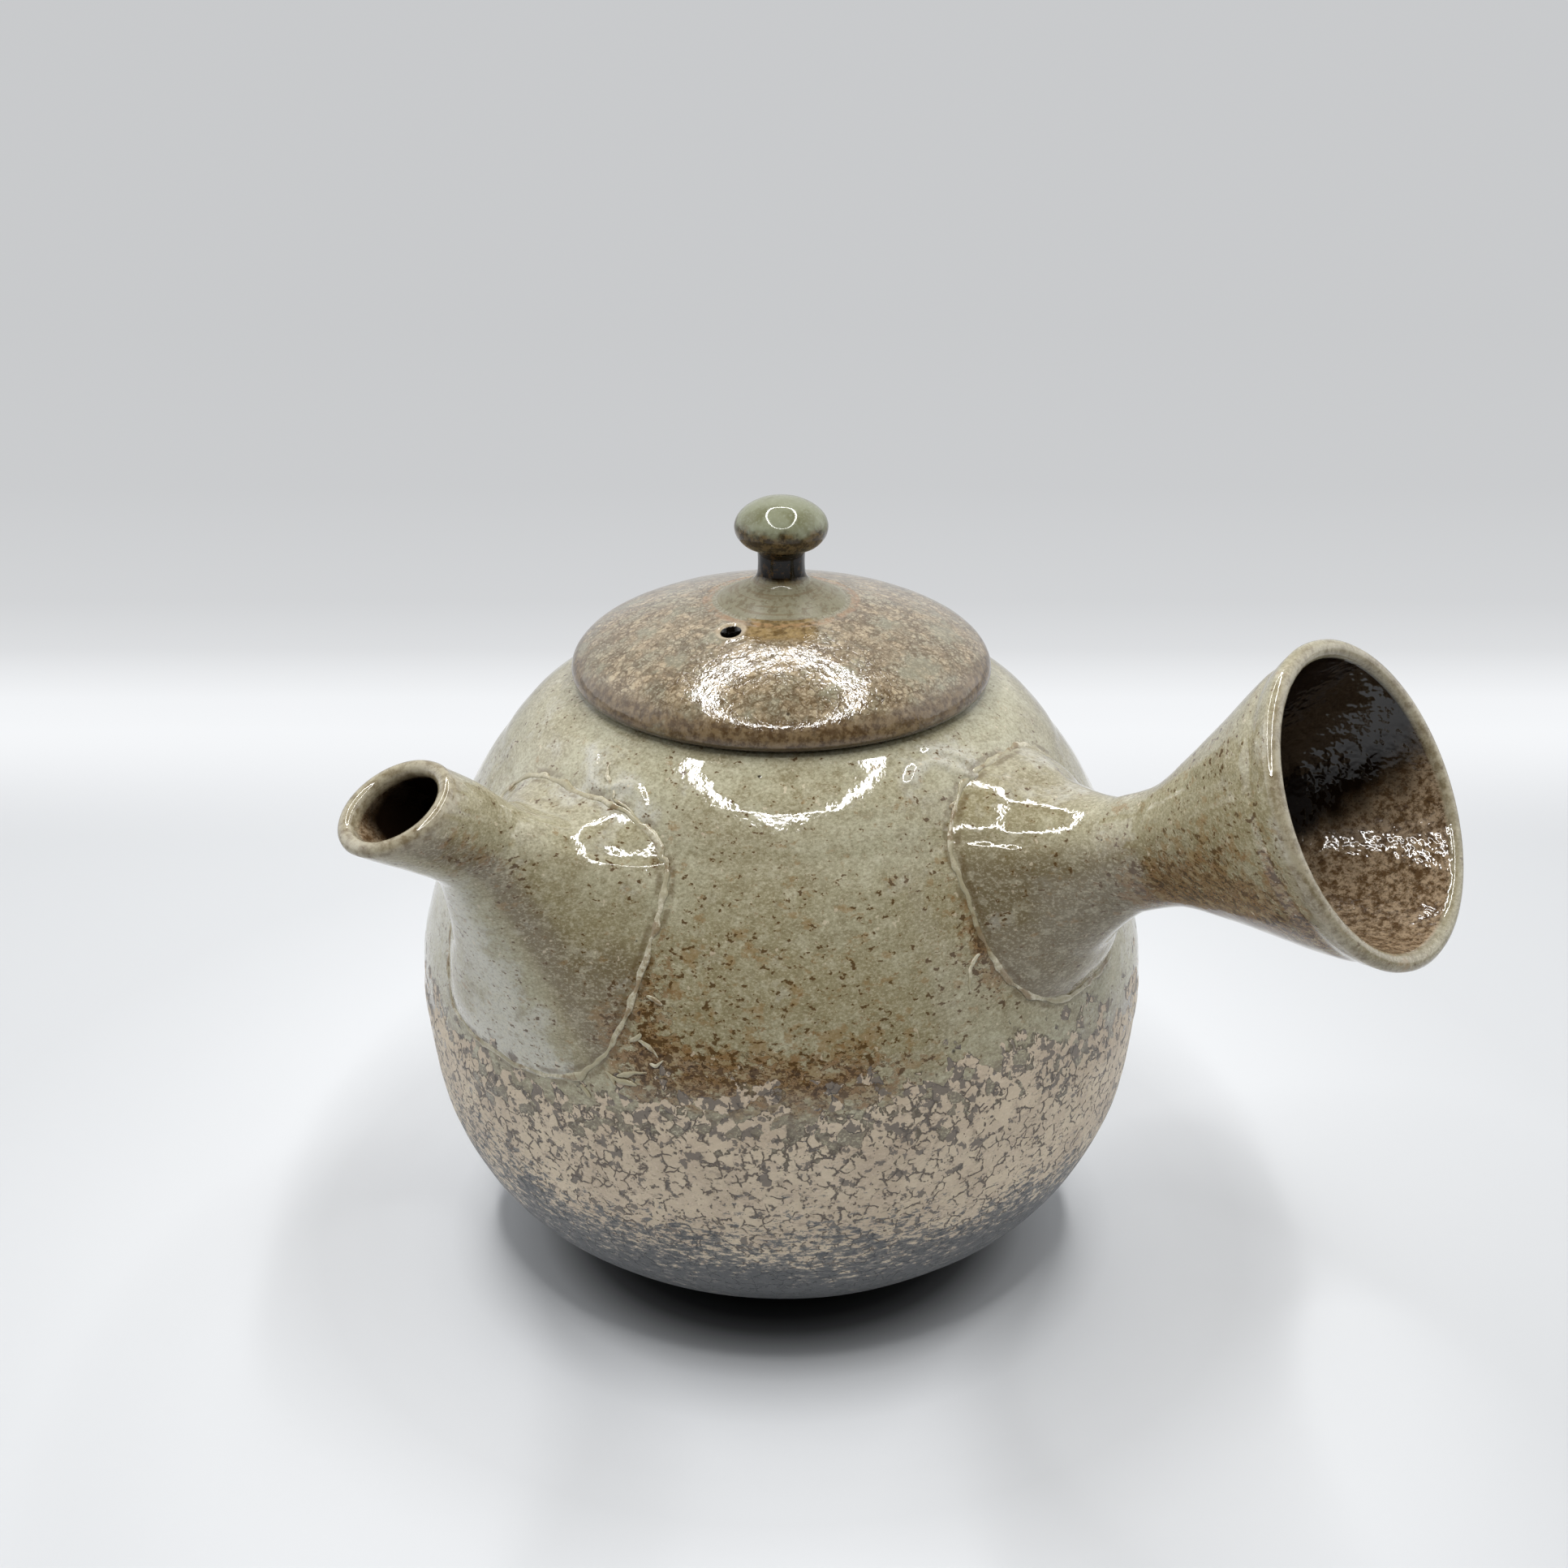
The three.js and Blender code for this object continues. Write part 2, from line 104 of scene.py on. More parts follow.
# Handle
HANDLE_TURN = math.radians(100.7)
HANDLE_RISE = math.radians(27)
HANDLE_MOUTH_TILT = math.radians(30.5)
HANDLE_HEIGHT = 43.5
HANDLE_LENGTH = 85.6
HANDLE_MOUTH_RADIUS = 18.1
HANDLE_NECK_RADIUS = 6.65
HANDLE_NECK_LENGTH = 55.7
HANDLE_WALL = 2.1
HANDLE_BORE_START = 49.5
HANDLE_BORE_END = [15, 30, 45, 60, 75, 90]
HANDLE_SIDES = 224
HANDLE_ROOT_ROWS = 56
HANDLE_ROOT = {
    "width": 13.2, "length": 12.0, "shift": -0.3, "height": 62.4, "pull": 9.0, "flare": 12.0, "swell": 0.8,
    "square": 2.6,
}
TRUMPET_SHARES = np.array([(0, 0), (0.2, 0.035), (0.4, 0.25), (0.6, 0.505), (0.8, 0.775), (1, 1)])
TRUMPET_STEPS = 64
LIP_BAND_RUN = 2.7
LIP_BAND_WIDTH = 0.9
LIP_BAND_DEPTH = 0.28
LIP_STEPS = 7

# Roots: how far they spread past the seam and sink into the pot
ROOT_SPREAD = 1.3
ROOT_LEAD = 0.3
ROOT_SINK = 0.3
ROOT_BURY = 1.6
ROOT_ROWS = 3
SWELL_START = 0.5

# Slip ridges along the seams and cracks: half their width and height
SEAM_SIZE = (0.38, 0.16)
BRANCH_SIZE = (0.26, 0.14)
SEAM_SIDES = 260
SEAM_SEARCH = (1.5, 2, 120)
RIDGE_SIDES = 10
RIDGE_LIMITS = (0.2, 1.7)
RIDGE_TAPER = 0.08
BRANCH_STEPS = 6

# Lid
LID_BASE = 79.3
LID_RADIUS = 25.7
LID_RISE = 9.1
LID_THICKNESS = 2.8
LID_EDGE_HEIGHT = 1.0
LID_SIDES = 320
LID_ROWS = 120
LID_TOP_START = 5
LID_FADE = 1.5
LID_DROP = 0.08
DOME_ROUNDNESS = 1.47
DOME_FLATNESS = 0.9
LID_CROWN = (0.35, 9.5, 6.5)
RING_GROOVES = [(8.2, 0.2, 0.14), (9.0, 0.22, 0.1)]
LID_CEILING = [(6.0, 85.9), (12.0, 85.3), (16.0, 83.5), (18.4, 81.2), (19.1, LID_BASE)]
LID_EDGE = [(21.4, LID_BASE), (24.3, LID_BASE), (24.9, 79.4), (25.45, 79.7), (25.65, 80.1)]
FLANGE = [
    (21.4, LID_BASE), (21.4, 73.1), (21.2, 72.55), (20.7, 72.3), (19.8, 72.3), (19.3, 72.55), (19.1, 73.1),
    (19.1, LID_BASE),
]
FLANGE_STEP = 1.2
FLANGE_SIDES = 200
VENT_RADIUS = 1.2
VENT_REACH = 11.2
VENT_TURN = math.radians(15)
VENT_SIDES = 40
VENT_LIP = (0.12, VENT_RADIUS + 0.55, 0.4)
VENT_DIP = (-0.3, 0.6, 0.75)
VENT_DRILL = (LID_BASE - 2, 92.7)
# Where the painted reflection of the knob lies on the lid
KNOB_REFLECTION_TURN = math.radians(47)

# Knob
KNOB_SEAT = 88.7
KNOB_HEIGHT = 12.85
KNOB_SINK = 1.2
KNOB_HIDDEN_RADIUS = 7.6
KNOB_STEPS = 120
KNOB_SIDES = 160
KNOB_GIRTH = 6.0
KNOB_OUTLINE = [
    (8.4, -0.6), (7.9, 0.0), (7.0, 0.55), (6.0, 1.1), (5.0, 1.62), (4.2, 2.05), (3.6, 2.42), (3.2, 2.85),
    (2.95, 3.4), (2.86, 4.1), (2.84, 5.2), (2.92, 6.2), (3.15, 6.62), (3.6, 6.78), (4.6, 7.25), (5.35, 8.1),
    (5.64, 9.0), (5.58, 9.8), (5.15, 10.7), (4.2, 11.6), (2.8, 12.35), (1.3, 12.75),
]

# Strainer
WELD = 0.04
STRAINER_RADIUS = 12.6
STRAINER_THICKNESS = 1.6
STRAINER_SIDES = 120
STRAINER_SINK = 1.2
STRAINER_LEANS = np.radians(np.arange(30, 100, 0.5))
STRAINER_SHARES = np.linspace(0.02, 1, 30)
STRAINER_HOLE_RADIUS = 0.85
STRAINER_HOLES = 30
STRAINER_SPREAD = math.radians(55)
STRAINER_UP = (0.0, 0.3, 1.0)
HOLE_SIDES = 24

# Unevenness of hand work: height, size, octaves and place in the noise
NOISE_SHIFT = (1, 2.3, -1.7)
NOISE_GRADING = (0.7, 2.1)
BODY_WAVE = (0.1, 24.0, 2, 3.1)
THROWING_WAVE = (0.035, 2.6, 2, 7.7)
THROWING_STRETCH = (0.06, 0.06, 1.0)
SPOUT_WAVE = (0.1, 9.0, 2, 5.3)
HANDLE_WAVE = (0.14, 14.0, 2, 9.4)
RIDGE_WAVE = (0.9, 2.6, 2, 4.2)
RIDGE_DRIFT = (0.45, 3.5, 3, 8.1)
LID_WAVE = (0.07, 13.0, 2, 2.2)
LID_THROWING = (0.025, 2.4, 2, 6.1)
LID_STRETCH = (1, 1, 0.2)
KNOB_WAVE = (0.05, 6.0, 1, 1.4)
CURL_SIZE = (0.32, 0.6)

# Cracks and curls in the glaze beside the roots: turn in degrees, height in millimetres
SPOUT_BRANCHES = [
    [(4.7, 76.5), (6.2, 75.6), (7.9, 75.0), (9.5, 74.7), (10.6, 74.0)],
    [(10.6, 74.0), (16.8, 73.0), (21.9, 71.1), (25.0, 68.4), (25.4, 65.4)],
    [(26.2, 55.8), (27.6, 55.7), (28.9, 55.4)],
    [(24.4, 50.9), (25.4, 51.4), (26.1, 51.9)],
    [(25.7, 51.1), (27.1, 50.8), (28.2, 50.2), (28.8, 49.6)],
    [(21.1, 47.0), (22.0, 46.3), (22.6, 45.4)],
    [(21.8, 46.7), (23.2, 46.2), (24.9, 46.1), (26.1, 46.2)],
    [(22.8, 46.8), (24.7, 47.3), (27.5, 47.5)],
    [(27.8, 48.6), (29.0, 48.7), (29.9, 49.5)],
    [(17.1, 44.5), (18.0, 43.9), (18.8, 43.2)],
]
HANDLE_BRANCHES = [
    [(80.1, 58.5), (79.0, 58.3), (78.1, 57.6), (77.5, 56.3), (77.2, 55.1)],
    [(87.2, 72.8), (90.4, 73.5), (92.6, 73.8), (95.2, 74.0), (96.8, 74.5), (96.3, 75.0), (95.3, 75.3)],
    [(96.5, 74.5), (100.1, 75.0), (101.2, 74.6), (101.3, 73.8)],
    [(85.9, 73.4), (84.1, 73.5), (83.2, 73.0)],
]
CURLS = [
    [(77.2, 76.3), (79.5, 76.9), (82.0, 77.1), (85.3, 77.0), (87.9, 76.4), (89.4, 75.8), (92.6, 74.9)],
    [(86.0, 78.0), (89.0, 77.6), (92.0, 77.0), (94.0, 76.0)],
    [(-3.0, 77.0), (0.5, 76.2), (3.0, 75.0), (7.0, 74.6), (12.0, 75.5), (16.0, 75.0), (19.0, 73.2)],
]

# Lower edge of the glaze: turn in degrees, height in millimetres
GLAZE_EDGE = [
    (-150, 43.0), (-100, 41.5), (-60, 43.0), (-12, 42.0), (2, 41.4), (15, 41.6), (28, 44.2), (47, 44.3),
    (57, 43.6), (69, 45.6), (83, 46.4), (102, 43.9), (115, 42.8), (160, 44.5),
]

# Patches of rust, of thin olive glaze with painted shade under the handle and on its low side, and of thick
# milky glaze with painted sheen and reflection on the sides, the handle's top and the root fillets. Each is a
# share and its span in some measures:
# a middle and a spread, or a low end, a high end and a soft edge.
POT_PATCHES = {
    "rust": [
        (0.9, {"turn": (23, 66, 4), "height": (47.5, 4.5)}),
        (0.5, {"turn": (27, 5), "height": (54, 8)}),
        (0.7, {"turn": (82, 5), "height": (60, 6)}),
        (0.3, {"turn": (22, 82, 4), "height": (60, 12)}),
        (0.08, {}),
    ],
    "olive": [
        (1.0, {"turn": (24, 78, 3), "height": (47, 68, 3)}),
        # Painted shade under the handle's root
        (1.3, {"turn": (85, 8), "height": (58, 6)}),
    ],
    "veil": [
        (0.7, {"height": (44, 70, 5)}),
        (-0.7, {"turn": (12, 92, 5), "height": (44, 70, 5)}),
        (0.5, {"turn": (-50, 4, 5), "height": (44, 64, 5)}),
    ],
}
# Pale glaze and painted sheen round the curls: a share and a spread
CURL_PALE_GLAZE_AND_SHEEN = (0.8, 1.8)
SPOUT_PATCHES = {
    "rust": [
        (0.16, {}),
        (0.5, {"side": (190, 24), "height": (73, 5)}),
        (0.7, {"turn": (22, 3), "height": (52, 5)}),
    ],
    "olive": [(0.3, {}), (1.3, {"side": (200, 27)}), (0.5, {"turn": (21, 4), "height": (56, 7)})],
    "veil": [(0.95, {"side": (264, 32)}), (0.1, {"side": (125, 22)})],
}
# Painted reflection in the spout's root fillet beside the seam: a share, and the turn below which it lies
SPOUT_FILLET_PAINTED_REFLECTION = (0.9, 16)
HANDLE_PATCHES = {
    "rust": [(0.1, {}), (0.25, {"length": (56, 82, 5)})],
    # Painted shade on the handle's lower side near the root
    "olive": [(0.85, {}), (0.8, {"length": (36, 60, 5), "around": (-20, 48)})],
    "veil": [(0.5, {"length": (36, 60, 5), "around": (100, 40)}), (0.35, {"depth": (1.0, 2.0)})],
}
HANDLE_STREAKS = [(1.25, {"around": (-32, 40)})]
HANDLE_FLARE = (60, 80, 4)
LIP_GROOVE = (3.2, 1.3)
PATCH_LIMITS = {"rust": 1, "olive": 1.5, "veil": 1}
POT_PALE_AND_SHEEN_LIMIT = 1.3

# Hollow mouths: how much painted shade darkens them inside, and where their lips are
SPOUT_MOUTH = {"lean": 0.5, "reach": 7, "light": 0.5, "shade": 0.35, "lip": (0, 1.6), "cover": 0.8}
HANDLE_MOUTH = {"lean": 0.45, "reach": 16, "light": 0.6, "shade": 0.75, "lip": (-0.6, 1.1), "cover": 1}
HANDLE_LOW_SIDE = (0.9, 0.8)
# Painted shade on the handle's low side
HANDLE_LOW_PAINTED_SHADE = 0.3
SEAM_REACH = 2.6


def tone(red, green, blue):
    """A colour from screen values of 0 to 255, as the light value that nodes use."""
    def channel(value):
        share = value / 255
        return share / 12.92 if share <= 0.04045 else ((share + 0.055) / 1.055) ** 2.4
    return (channel(red), channel(green), channel(blue), 1.0)


def smooth_curve(points, count):
    """A Catmull-Rom curve through points, evenly spread over their numbers."""
    points = np.asarray(points, float)
    spots = np.linspace(0, len(points) - 1, count + 1)
    first = np.minimum(spots.astype(int), len(points) - 2)
    share = (spots - first)[:, None]
    before, after = np.maximum(first - 1, 0), np.minimum(first + 2, len(points) - 1)
    a, b, c, d = points[before], points[first], points[first + 1], points[after]
    leaving, arriving = (c - a) / 2, (d - b) / 2
    return (
        (2 * b - 2 * c + leaving + arriving) * share ** 3
        + (3 * c - 3 * b - 2 * leaving - arriving) * share ** 2
        + leaving * share + b
    )


BELLY = smooth_curve(BELLY_SHARES * (BODY_RADIUS, RIM_HEIGHT), BELLY_STEPS)
BELLY = BELLY[BELLY[:, 1] < SHOULDER_START]
BELLY = np.concatenate([BELLY, smooth_curve([BELLY[-1], *SHOULDER], SHOULDER_STEPS)[1:]])
TRUMPET = smooth_curve(TRUMPET_SHARES, TRUMPET_STEPS) * (
    HANDLE_LENGTH - HANDLE_NECK_LENGTH, HANDLE_MOUTH_RADIUS - HANDLE_NECK_RADIUS,
) + (HANDLE_NECK_LENGTH, HANDLE_NECK_RADIUS)
HANDLE_OUT = np.array([-math.cos(HANDLE_RISE), 0, math.sin(HANDLE_RISE)])
SIDEWAYS = np.array([0.0, 1.0, 0.0])


def pot_radius(height):
    return np.interp(height, BELLY[:, 1], BELLY[:, 0])


def turned_about_z(points, turn):
    cos, sin = math.cos(turn), math.sin(turn)
    x, y, z = points[..., 0], points[..., 1], points[..., 2]
    return np.stack([x * cos - y * sin, x * sin + y * cos, z], -1)


def on_pot(turn_degrees, height):
    """Points on the pot's outside."""
    turn = np.radians(turn_degrees)
    radius = pot_radius(height)
    return np.stack([-radius * np.cos(turn), -radius * np.sin(turn), np.asarray(height, float)], -1)


def pot_turn(points):
    return np.degrees(np.arctan2(-points[..., 1], -points[..., 0]))


def pot_normal(points):
    """The pot's outward direction beside some points."""
    flat = np.hypot(points[..., 0], points[..., 1])
    height = points[..., 2]
    slope = pot_radius(height + SLOPE_REACH) - pot_radius(height - SLOPE_REACH)
    normal = np.stack([points[..., 0] / flat, points[..., 1] / flat, -slope], -1)
    return normal / np.linalg.norm(normal, axis=-1, keepdims=True)


def angles(sides):
    return np.arange(sides) * 2 * math.pi / sides


def bump(value, middle, spread):
    return np.exp(-((value - middle) / spread) ** 2)


def plateau(value, low, high, soft):
    """1 between low and high, easing to 0 outside."""
    return 1 / (1 + np.exp((low - value) / soft)) / (1 + np.exp((value - high) / soft))


def wave(points, height, size, octaves, seed):
    """Smooth noise at each point, up to about height, with features of that size."""
    shift = Vector([seed * part for part in NOISE_SHIFT])
    flat = points.reshape(-1, 3) / size
    values = [noise.fractal(Vector(p) + shift, *NOISE_GRADING, octaves) for p in flat]
    return height * np.array(values).reshape(points.shape[:-1])


def path_distance(points, path):
    """How far each point is from a line through path."""
    flat = points.reshape(-1, 3)
    nearest = np.full(len(flat), np.inf)
    for start, end in zip(path[:-1], path[1:]):
        along = end - start
        share = np.clip((flat - start) @ along / max(along @ along, 1e-9), 0, 1)
        gap = np.linalg.norm(flat - start - share[:, None] * along, axis=1)
        nearest = np.minimum(nearest, gap)
    return nearest.reshape(points.shape[:-1])


def make_mesh(name, points, faces, marks=None):
    """A smooth piece with all faces turned outwards."""
    mesh = bpy.data.meshes.new(name)
    mesh.from_pydata((np.asarray(points) * MM).tolist(), [], faces)
    mesh.validate()
    for mark, values in (marks or {}).items():
        attribute = mesh.attributes.new(mark, "FLOAT", "POINT")
        attribute.data.foreach_set("value", np.asarray(values, np.float32).ravel())
    mesh.shade_smooth()
    mesh.update()
    piece = bpy.data.objects.new(name, mesh)
    bpy.context.scene.collection.objects.link(piece)
    shape = bmesh.new()
    shape.from_mesh(mesh)
    bmesh.ops.recalc_face_normals(shape, faces=shape.faces)
    shape.to_mesh(mesh)
    shape.free()
    return piece


def ring_faces(rows, sides, closed):
    """Quads between rows of points. A closed run of rows joins its last row to its first."""
    faces = []
    for row in range(rows if closed else rows - 1):
        low, high = row * sides, ((row + 1) % rows) * sides
        for side in range(sides):
            after = (side + 1) % sides
            faces.append((low + side, low + after, high + after, high + side))
    return faces


def ended_faces(base, rows, sides, closed):
    """The faces of a tube whose points start at base. An open one has flat ends."""
    faces = [tuple(base + corner for corner in face) for face in ring_faces(rows, sides, closed)]
    if not closed:
        faces.append(tuple(base + side for side in reversed(range(sides))))
        faces.append(tuple(base + (rows - 1) * sides + side for side in range(sides)))
    return faces


def tube(name, rings, marks=None):
    """A closed skin through rings, whose last ring joins the first."""
    rows, sides = rings.shape[:2]
    return make_mesh(name, rings.reshape(-1, 3), ring_faces(rows, sides, True), marks)


def capped(name, rings, marks=None, start=None, end=None):
    """A closed skin that starts and ends in a point, which is the middle of a ring if not given."""
    rows, sides = rings.shape[:2]
    start = rings[0].mean(0) if start is None else start
    end = rings[-1].mean(0) if end is None else end
    faces = ring_faces(rows, sides, False)
    first, last = rows * sides, rows * sides + 1
    for side in range(sides):
        after = (side + 1) % sides
        faces.append((first, after, side))
        faces.append((last, (rows - 1) * sides + side, (rows - 1) * sides + after))
    points = np.concatenate([rings.reshape(-1, 3), [start], [end]])
    full = {}
    for mark, values in (marks or {}).items():
        full[mark] = np.concatenate([values.ravel(), [values[0].mean()], [values[-1].mean()]])
    return make_mesh(name, points, faces, full)


def lathe_rings(outline, sides):
    """Rings from an outline of radius and height."""
    turns = angles(sides)
    outline = np.asarray(outline, float)
    return np.stack([
        -outline[:, :1] * np.cos(turns),
        -outline[:, :1] * np.sin(turns),
        np.repeat(outline[:, 1:], sides, axis=1),
    ], -1)


def cut(piece, cutter):
    """Take the cutter's volume out of a piece."""
    modifier = piece.modifiers.new("cut", "BOOLEAN")
    modifier.operation = "DIFFERENCE"
    modifier.solver = "EXACT"
    modifier.object = cutter
    evaluated = piece.evaluated_get(bpy.context.evaluated_depsgraph_get())
    mesh = bpy.data.meshes.new_from_object(evaluated)
    piece.modifiers.clear()
    piece.data = mesh
    bpy.data.objects.remove(cutter)
    mesh.shade_smooth()
    return piece


def weld(piece):
    """Close the slivers that a cut leaves between neighbouring holes."""
    shape = bmesh.new()
    shape.from_mesh(piece.data)
    bmesh.ops.remove_doubles(shape, verts=shape.verts, dist=WELD * MM)
    bmesh.ops.dissolve_degenerate(shape, edges=shape.edges, dist=WELD * MM)
    bmesh.ops.triangulate(shape, faces=[face for face in shape.faces if len(face.verts) > 4])
    shape.to_mesh(piece.data)
    shape.free()
    return piece


def rounded(value, squareness):
    return np.sign(value) * np.abs(value) ** (2 / squareness)


def root_ring(root, grow, turns):
    sideways = root["shift"] + (root["width"] + grow) * rounded(np.cos(turns), root["square"])
    height = root["height"] + (root["length"] + grow) * rounded(np.sin(turns), root["square"])
    radius = pot_radius(height) - ROOT_SINK
    return np.stack([-np.sqrt(np.maximum(radius ** 2 - sideways ** 2, 0)), sideways, height], -1)


def smooth_step(start, leaving, end, arriving, share):
    a, b = share * share, share ** 3
    return (
        start * (2 * b - 3 * a + 1) + leaving * (b - 2 * a + share)
        + end * (3 * a - 2 * b) + arriving * (b - a)
    )


def flared_neck(ring, inward, root, turns, share):
    end = root_ring(root, ROOT_SPREAD, turns)
    arriving = root_ring(root, ROOT_SPREAD + ROOT_LEAD, turns) - end
    arriving *= root["flare"] / np.linalg.norm(arriving, axis=1, keepdims=True)
    surface = smooth_step(ring, inward * root["pull"], end, arriving, share)
    late = min(max((share - SWELL_START) / (1 - SWELL_START), 0), 1)
    return surface + pot_normal(surface) * root["swell"] * math.sin(math.pi * late) ** 2


def ellipse(centre, across, across_radius, up, up_radius, turns):
    return (
        centre + np.outer(np.cos(turns), across) * across_radius
        + np.outer(np.sin(turns), up) * up_radius
    )


def round_lip(outer, inner, axis):
    turns = np.linspace(0, math.pi, LIP_STEPS + 1)[1:-1]
    reach = np.linalg.norm(outer - inner, axis=1, keepdims=True) / 2
    middle = (outer + inner) / 2
    return [middle + (outer - inner) * math.cos(t) / 2 + axis * math.sin(t) * reach for t in turns]


def spout_section(share, turns):
    """The spout's outside. A share of 0 is the mouth, 1 the neck and 2 the pot."""
    centre = np.array([-SPOUT_REACH, 0, SPOUT_MOUTH_HEIGHT])
    mouth_up = np.array([math.sin(SPOUT_MOUTH_TILT), 0, math.cos(SPOUT_MOUTH_TILT)])
    inward = np.array([math.cos(SPOUT_RISE), 0, -math.sin(SPOUT_RISE)])
    neck_inward = np.array([math.cos(SPOUT_NECK_RISE), 0, -math.sin(SPOUT_NECK_RISE)])
    neck_up = np.array([math.sin(SPOUT_NECK_RISE), 0, math.cos(SPOUT_NECK_RISE)])
    mouth = ellipse(centre, SIDEWAYS, SPOUT_MOUTH_RADIUS, mouth_up, SPOUT_MOUTH_LENGTH, turns)
    neck = ellipse(
        centre + inward * SPOUT_NECK_RUN, SIDEWAYS, SPOUT_NECK_RADIUS, neck_up, SPOUT_NECK_RADIUS, turns,
    )
    if share > 1:
        return flared_neck(neck, neck_inward, SPOUT_ROOT, turns, share - 1)
    return smooth_step(mouth, inward * SPOUT_NECK_RUN, neck, neck_inward * SPOUT_NECK_RUN, share)


def spout_bore(share, turns):
    wall = SPOUT_WALL + (SPOUT_ROOT_WALL - SPOUT_WALL) * max(share - 1, 0) ** 2
    ring = spout_section(share, turns)
    away = ring.mean(0) - ring
    reach = np.linalg.norm(away, axis=1, keepdims=True)
    return ring + away * np.minimum(wall / reach, 1)


def trumpet_ring(length, radius, turns):
    centre = np.array([0, 0, HANDLE_HEIGHT]) + HANDLE_OUT * length
    run = max((length - HANDLE_NECK_LENGTH) / (HANDLE_LENGTH - HANDLE_NECK_LENGTH), 0)
    tilt = HANDLE_RISE + (HANDLE_MOUTH_TILT - HANDLE_RISE) * run
    up = np.array([math.sin(tilt), 0, math.cos(tilt)])
    return ellipse(centre, SIDEWAYS, radius, up, radius, turns)


def handle_section(share, turns):
    """The handle's outside from its neck, at a share of 1, to the pot, at 2."""
    neck = trumpet_ring(HANDLE_NECK_LENGTH, HANDLE_NECK_RADIUS, turns)
    return flared_neck(neck, -HANDLE_OUT, HANDLE_ROOT, turns, share - 1)


def seam_path(section):
    """Where a flared root crosses the pot's surface, once round."""
    turns = angles(SEAM_SIDES)
    rings = np.stack([section(share, turns) for share in np.linspace(*SEAM_SEARCH)])
    height = np.hypot(rings[..., 0], rings[..., 1]) - pot_radius(rings[..., 2])
    first = np.argmax(height < 0, axis=0)
    return rings[first, np.arange(SEAM_SIDES)]


def branch_paths(branches):
    return [on_pot(*smooth_curve(branch, BRANCH_STEPS * len(branch)).T) for branch in branches]


spout_seam_path = seam_path(spout_section)
handle_seam_path = turned_about_z(seam_path(handle_section), HANDLE_TURN)
curl_paths = branch_paths(CURLS)


def within(value, limits):
    return bump(value, *limits) if len(limits) == 2 else plateau(value, *limits)


def patched(table, measures):
    """The sum of a table's patches at each point."""
    total = 0
    for share, spans in table:
        part = share
        for measure, limits in spans.items():
            part = part * within(measures[measure], limits)
        total = total + part
    return total


def glaze_marks(points, patches, extra, limits=PATCH_LIMITS, **measures):
    """How the glaze lies at each point, its patches carrying painted shade and sheen too, and how close it is
    to a seam and above its lower edge.
    """
    turns, heights = zip(*GLAZE_EDGE)
    measures.update(turn=pot_turn(points), height=points[..., 2])
    closed = [np.concatenate([p, p[:1]])[::4] for p in (spout_seam_path, handle_seam_path)]
    gap = np.min([path_distance(points, p) for p in closed], axis=0)
    marks = {
        "seam": np.exp(-gap / SEAM_REACH),
        "edge": measures["height"] - np.interp(measures["turn"], turns, heights, period=360),
    }
    for name, limit in limits.items():
        more = extra(marks, measures).get(name, 0)
        marks[name] = np.clip(patched(patches[name], measures) + more, 0, limit)
    return marks


def mouth_marks(mouth, turns, depth, inside):
    # Painted shade grows with depth and on the side away from the light
    below = np.clip(-np.sin(turns) - mouth["lean"] * np.cos(turns), 0, 1)[None, :]
    soot = np.clip(depth / mouth["reach"], 0, 1) * (1 - mouth["light"] * below) + mouth["shade"] * (1 - below)
    return {"inside": inside, "soot": soot, "lip": bump(depth, *mouth["lip"]) * (1 - mouth["cover"] * inside)}


def bulged(rings, lift):
    """Rings pushed away from their middles."""
    away = rings - rings.mean(1, keepdims=True)
    away /= np.linalg.norm(away, axis=-1, keepdims=True)
    return rings + away * lift[..., None]


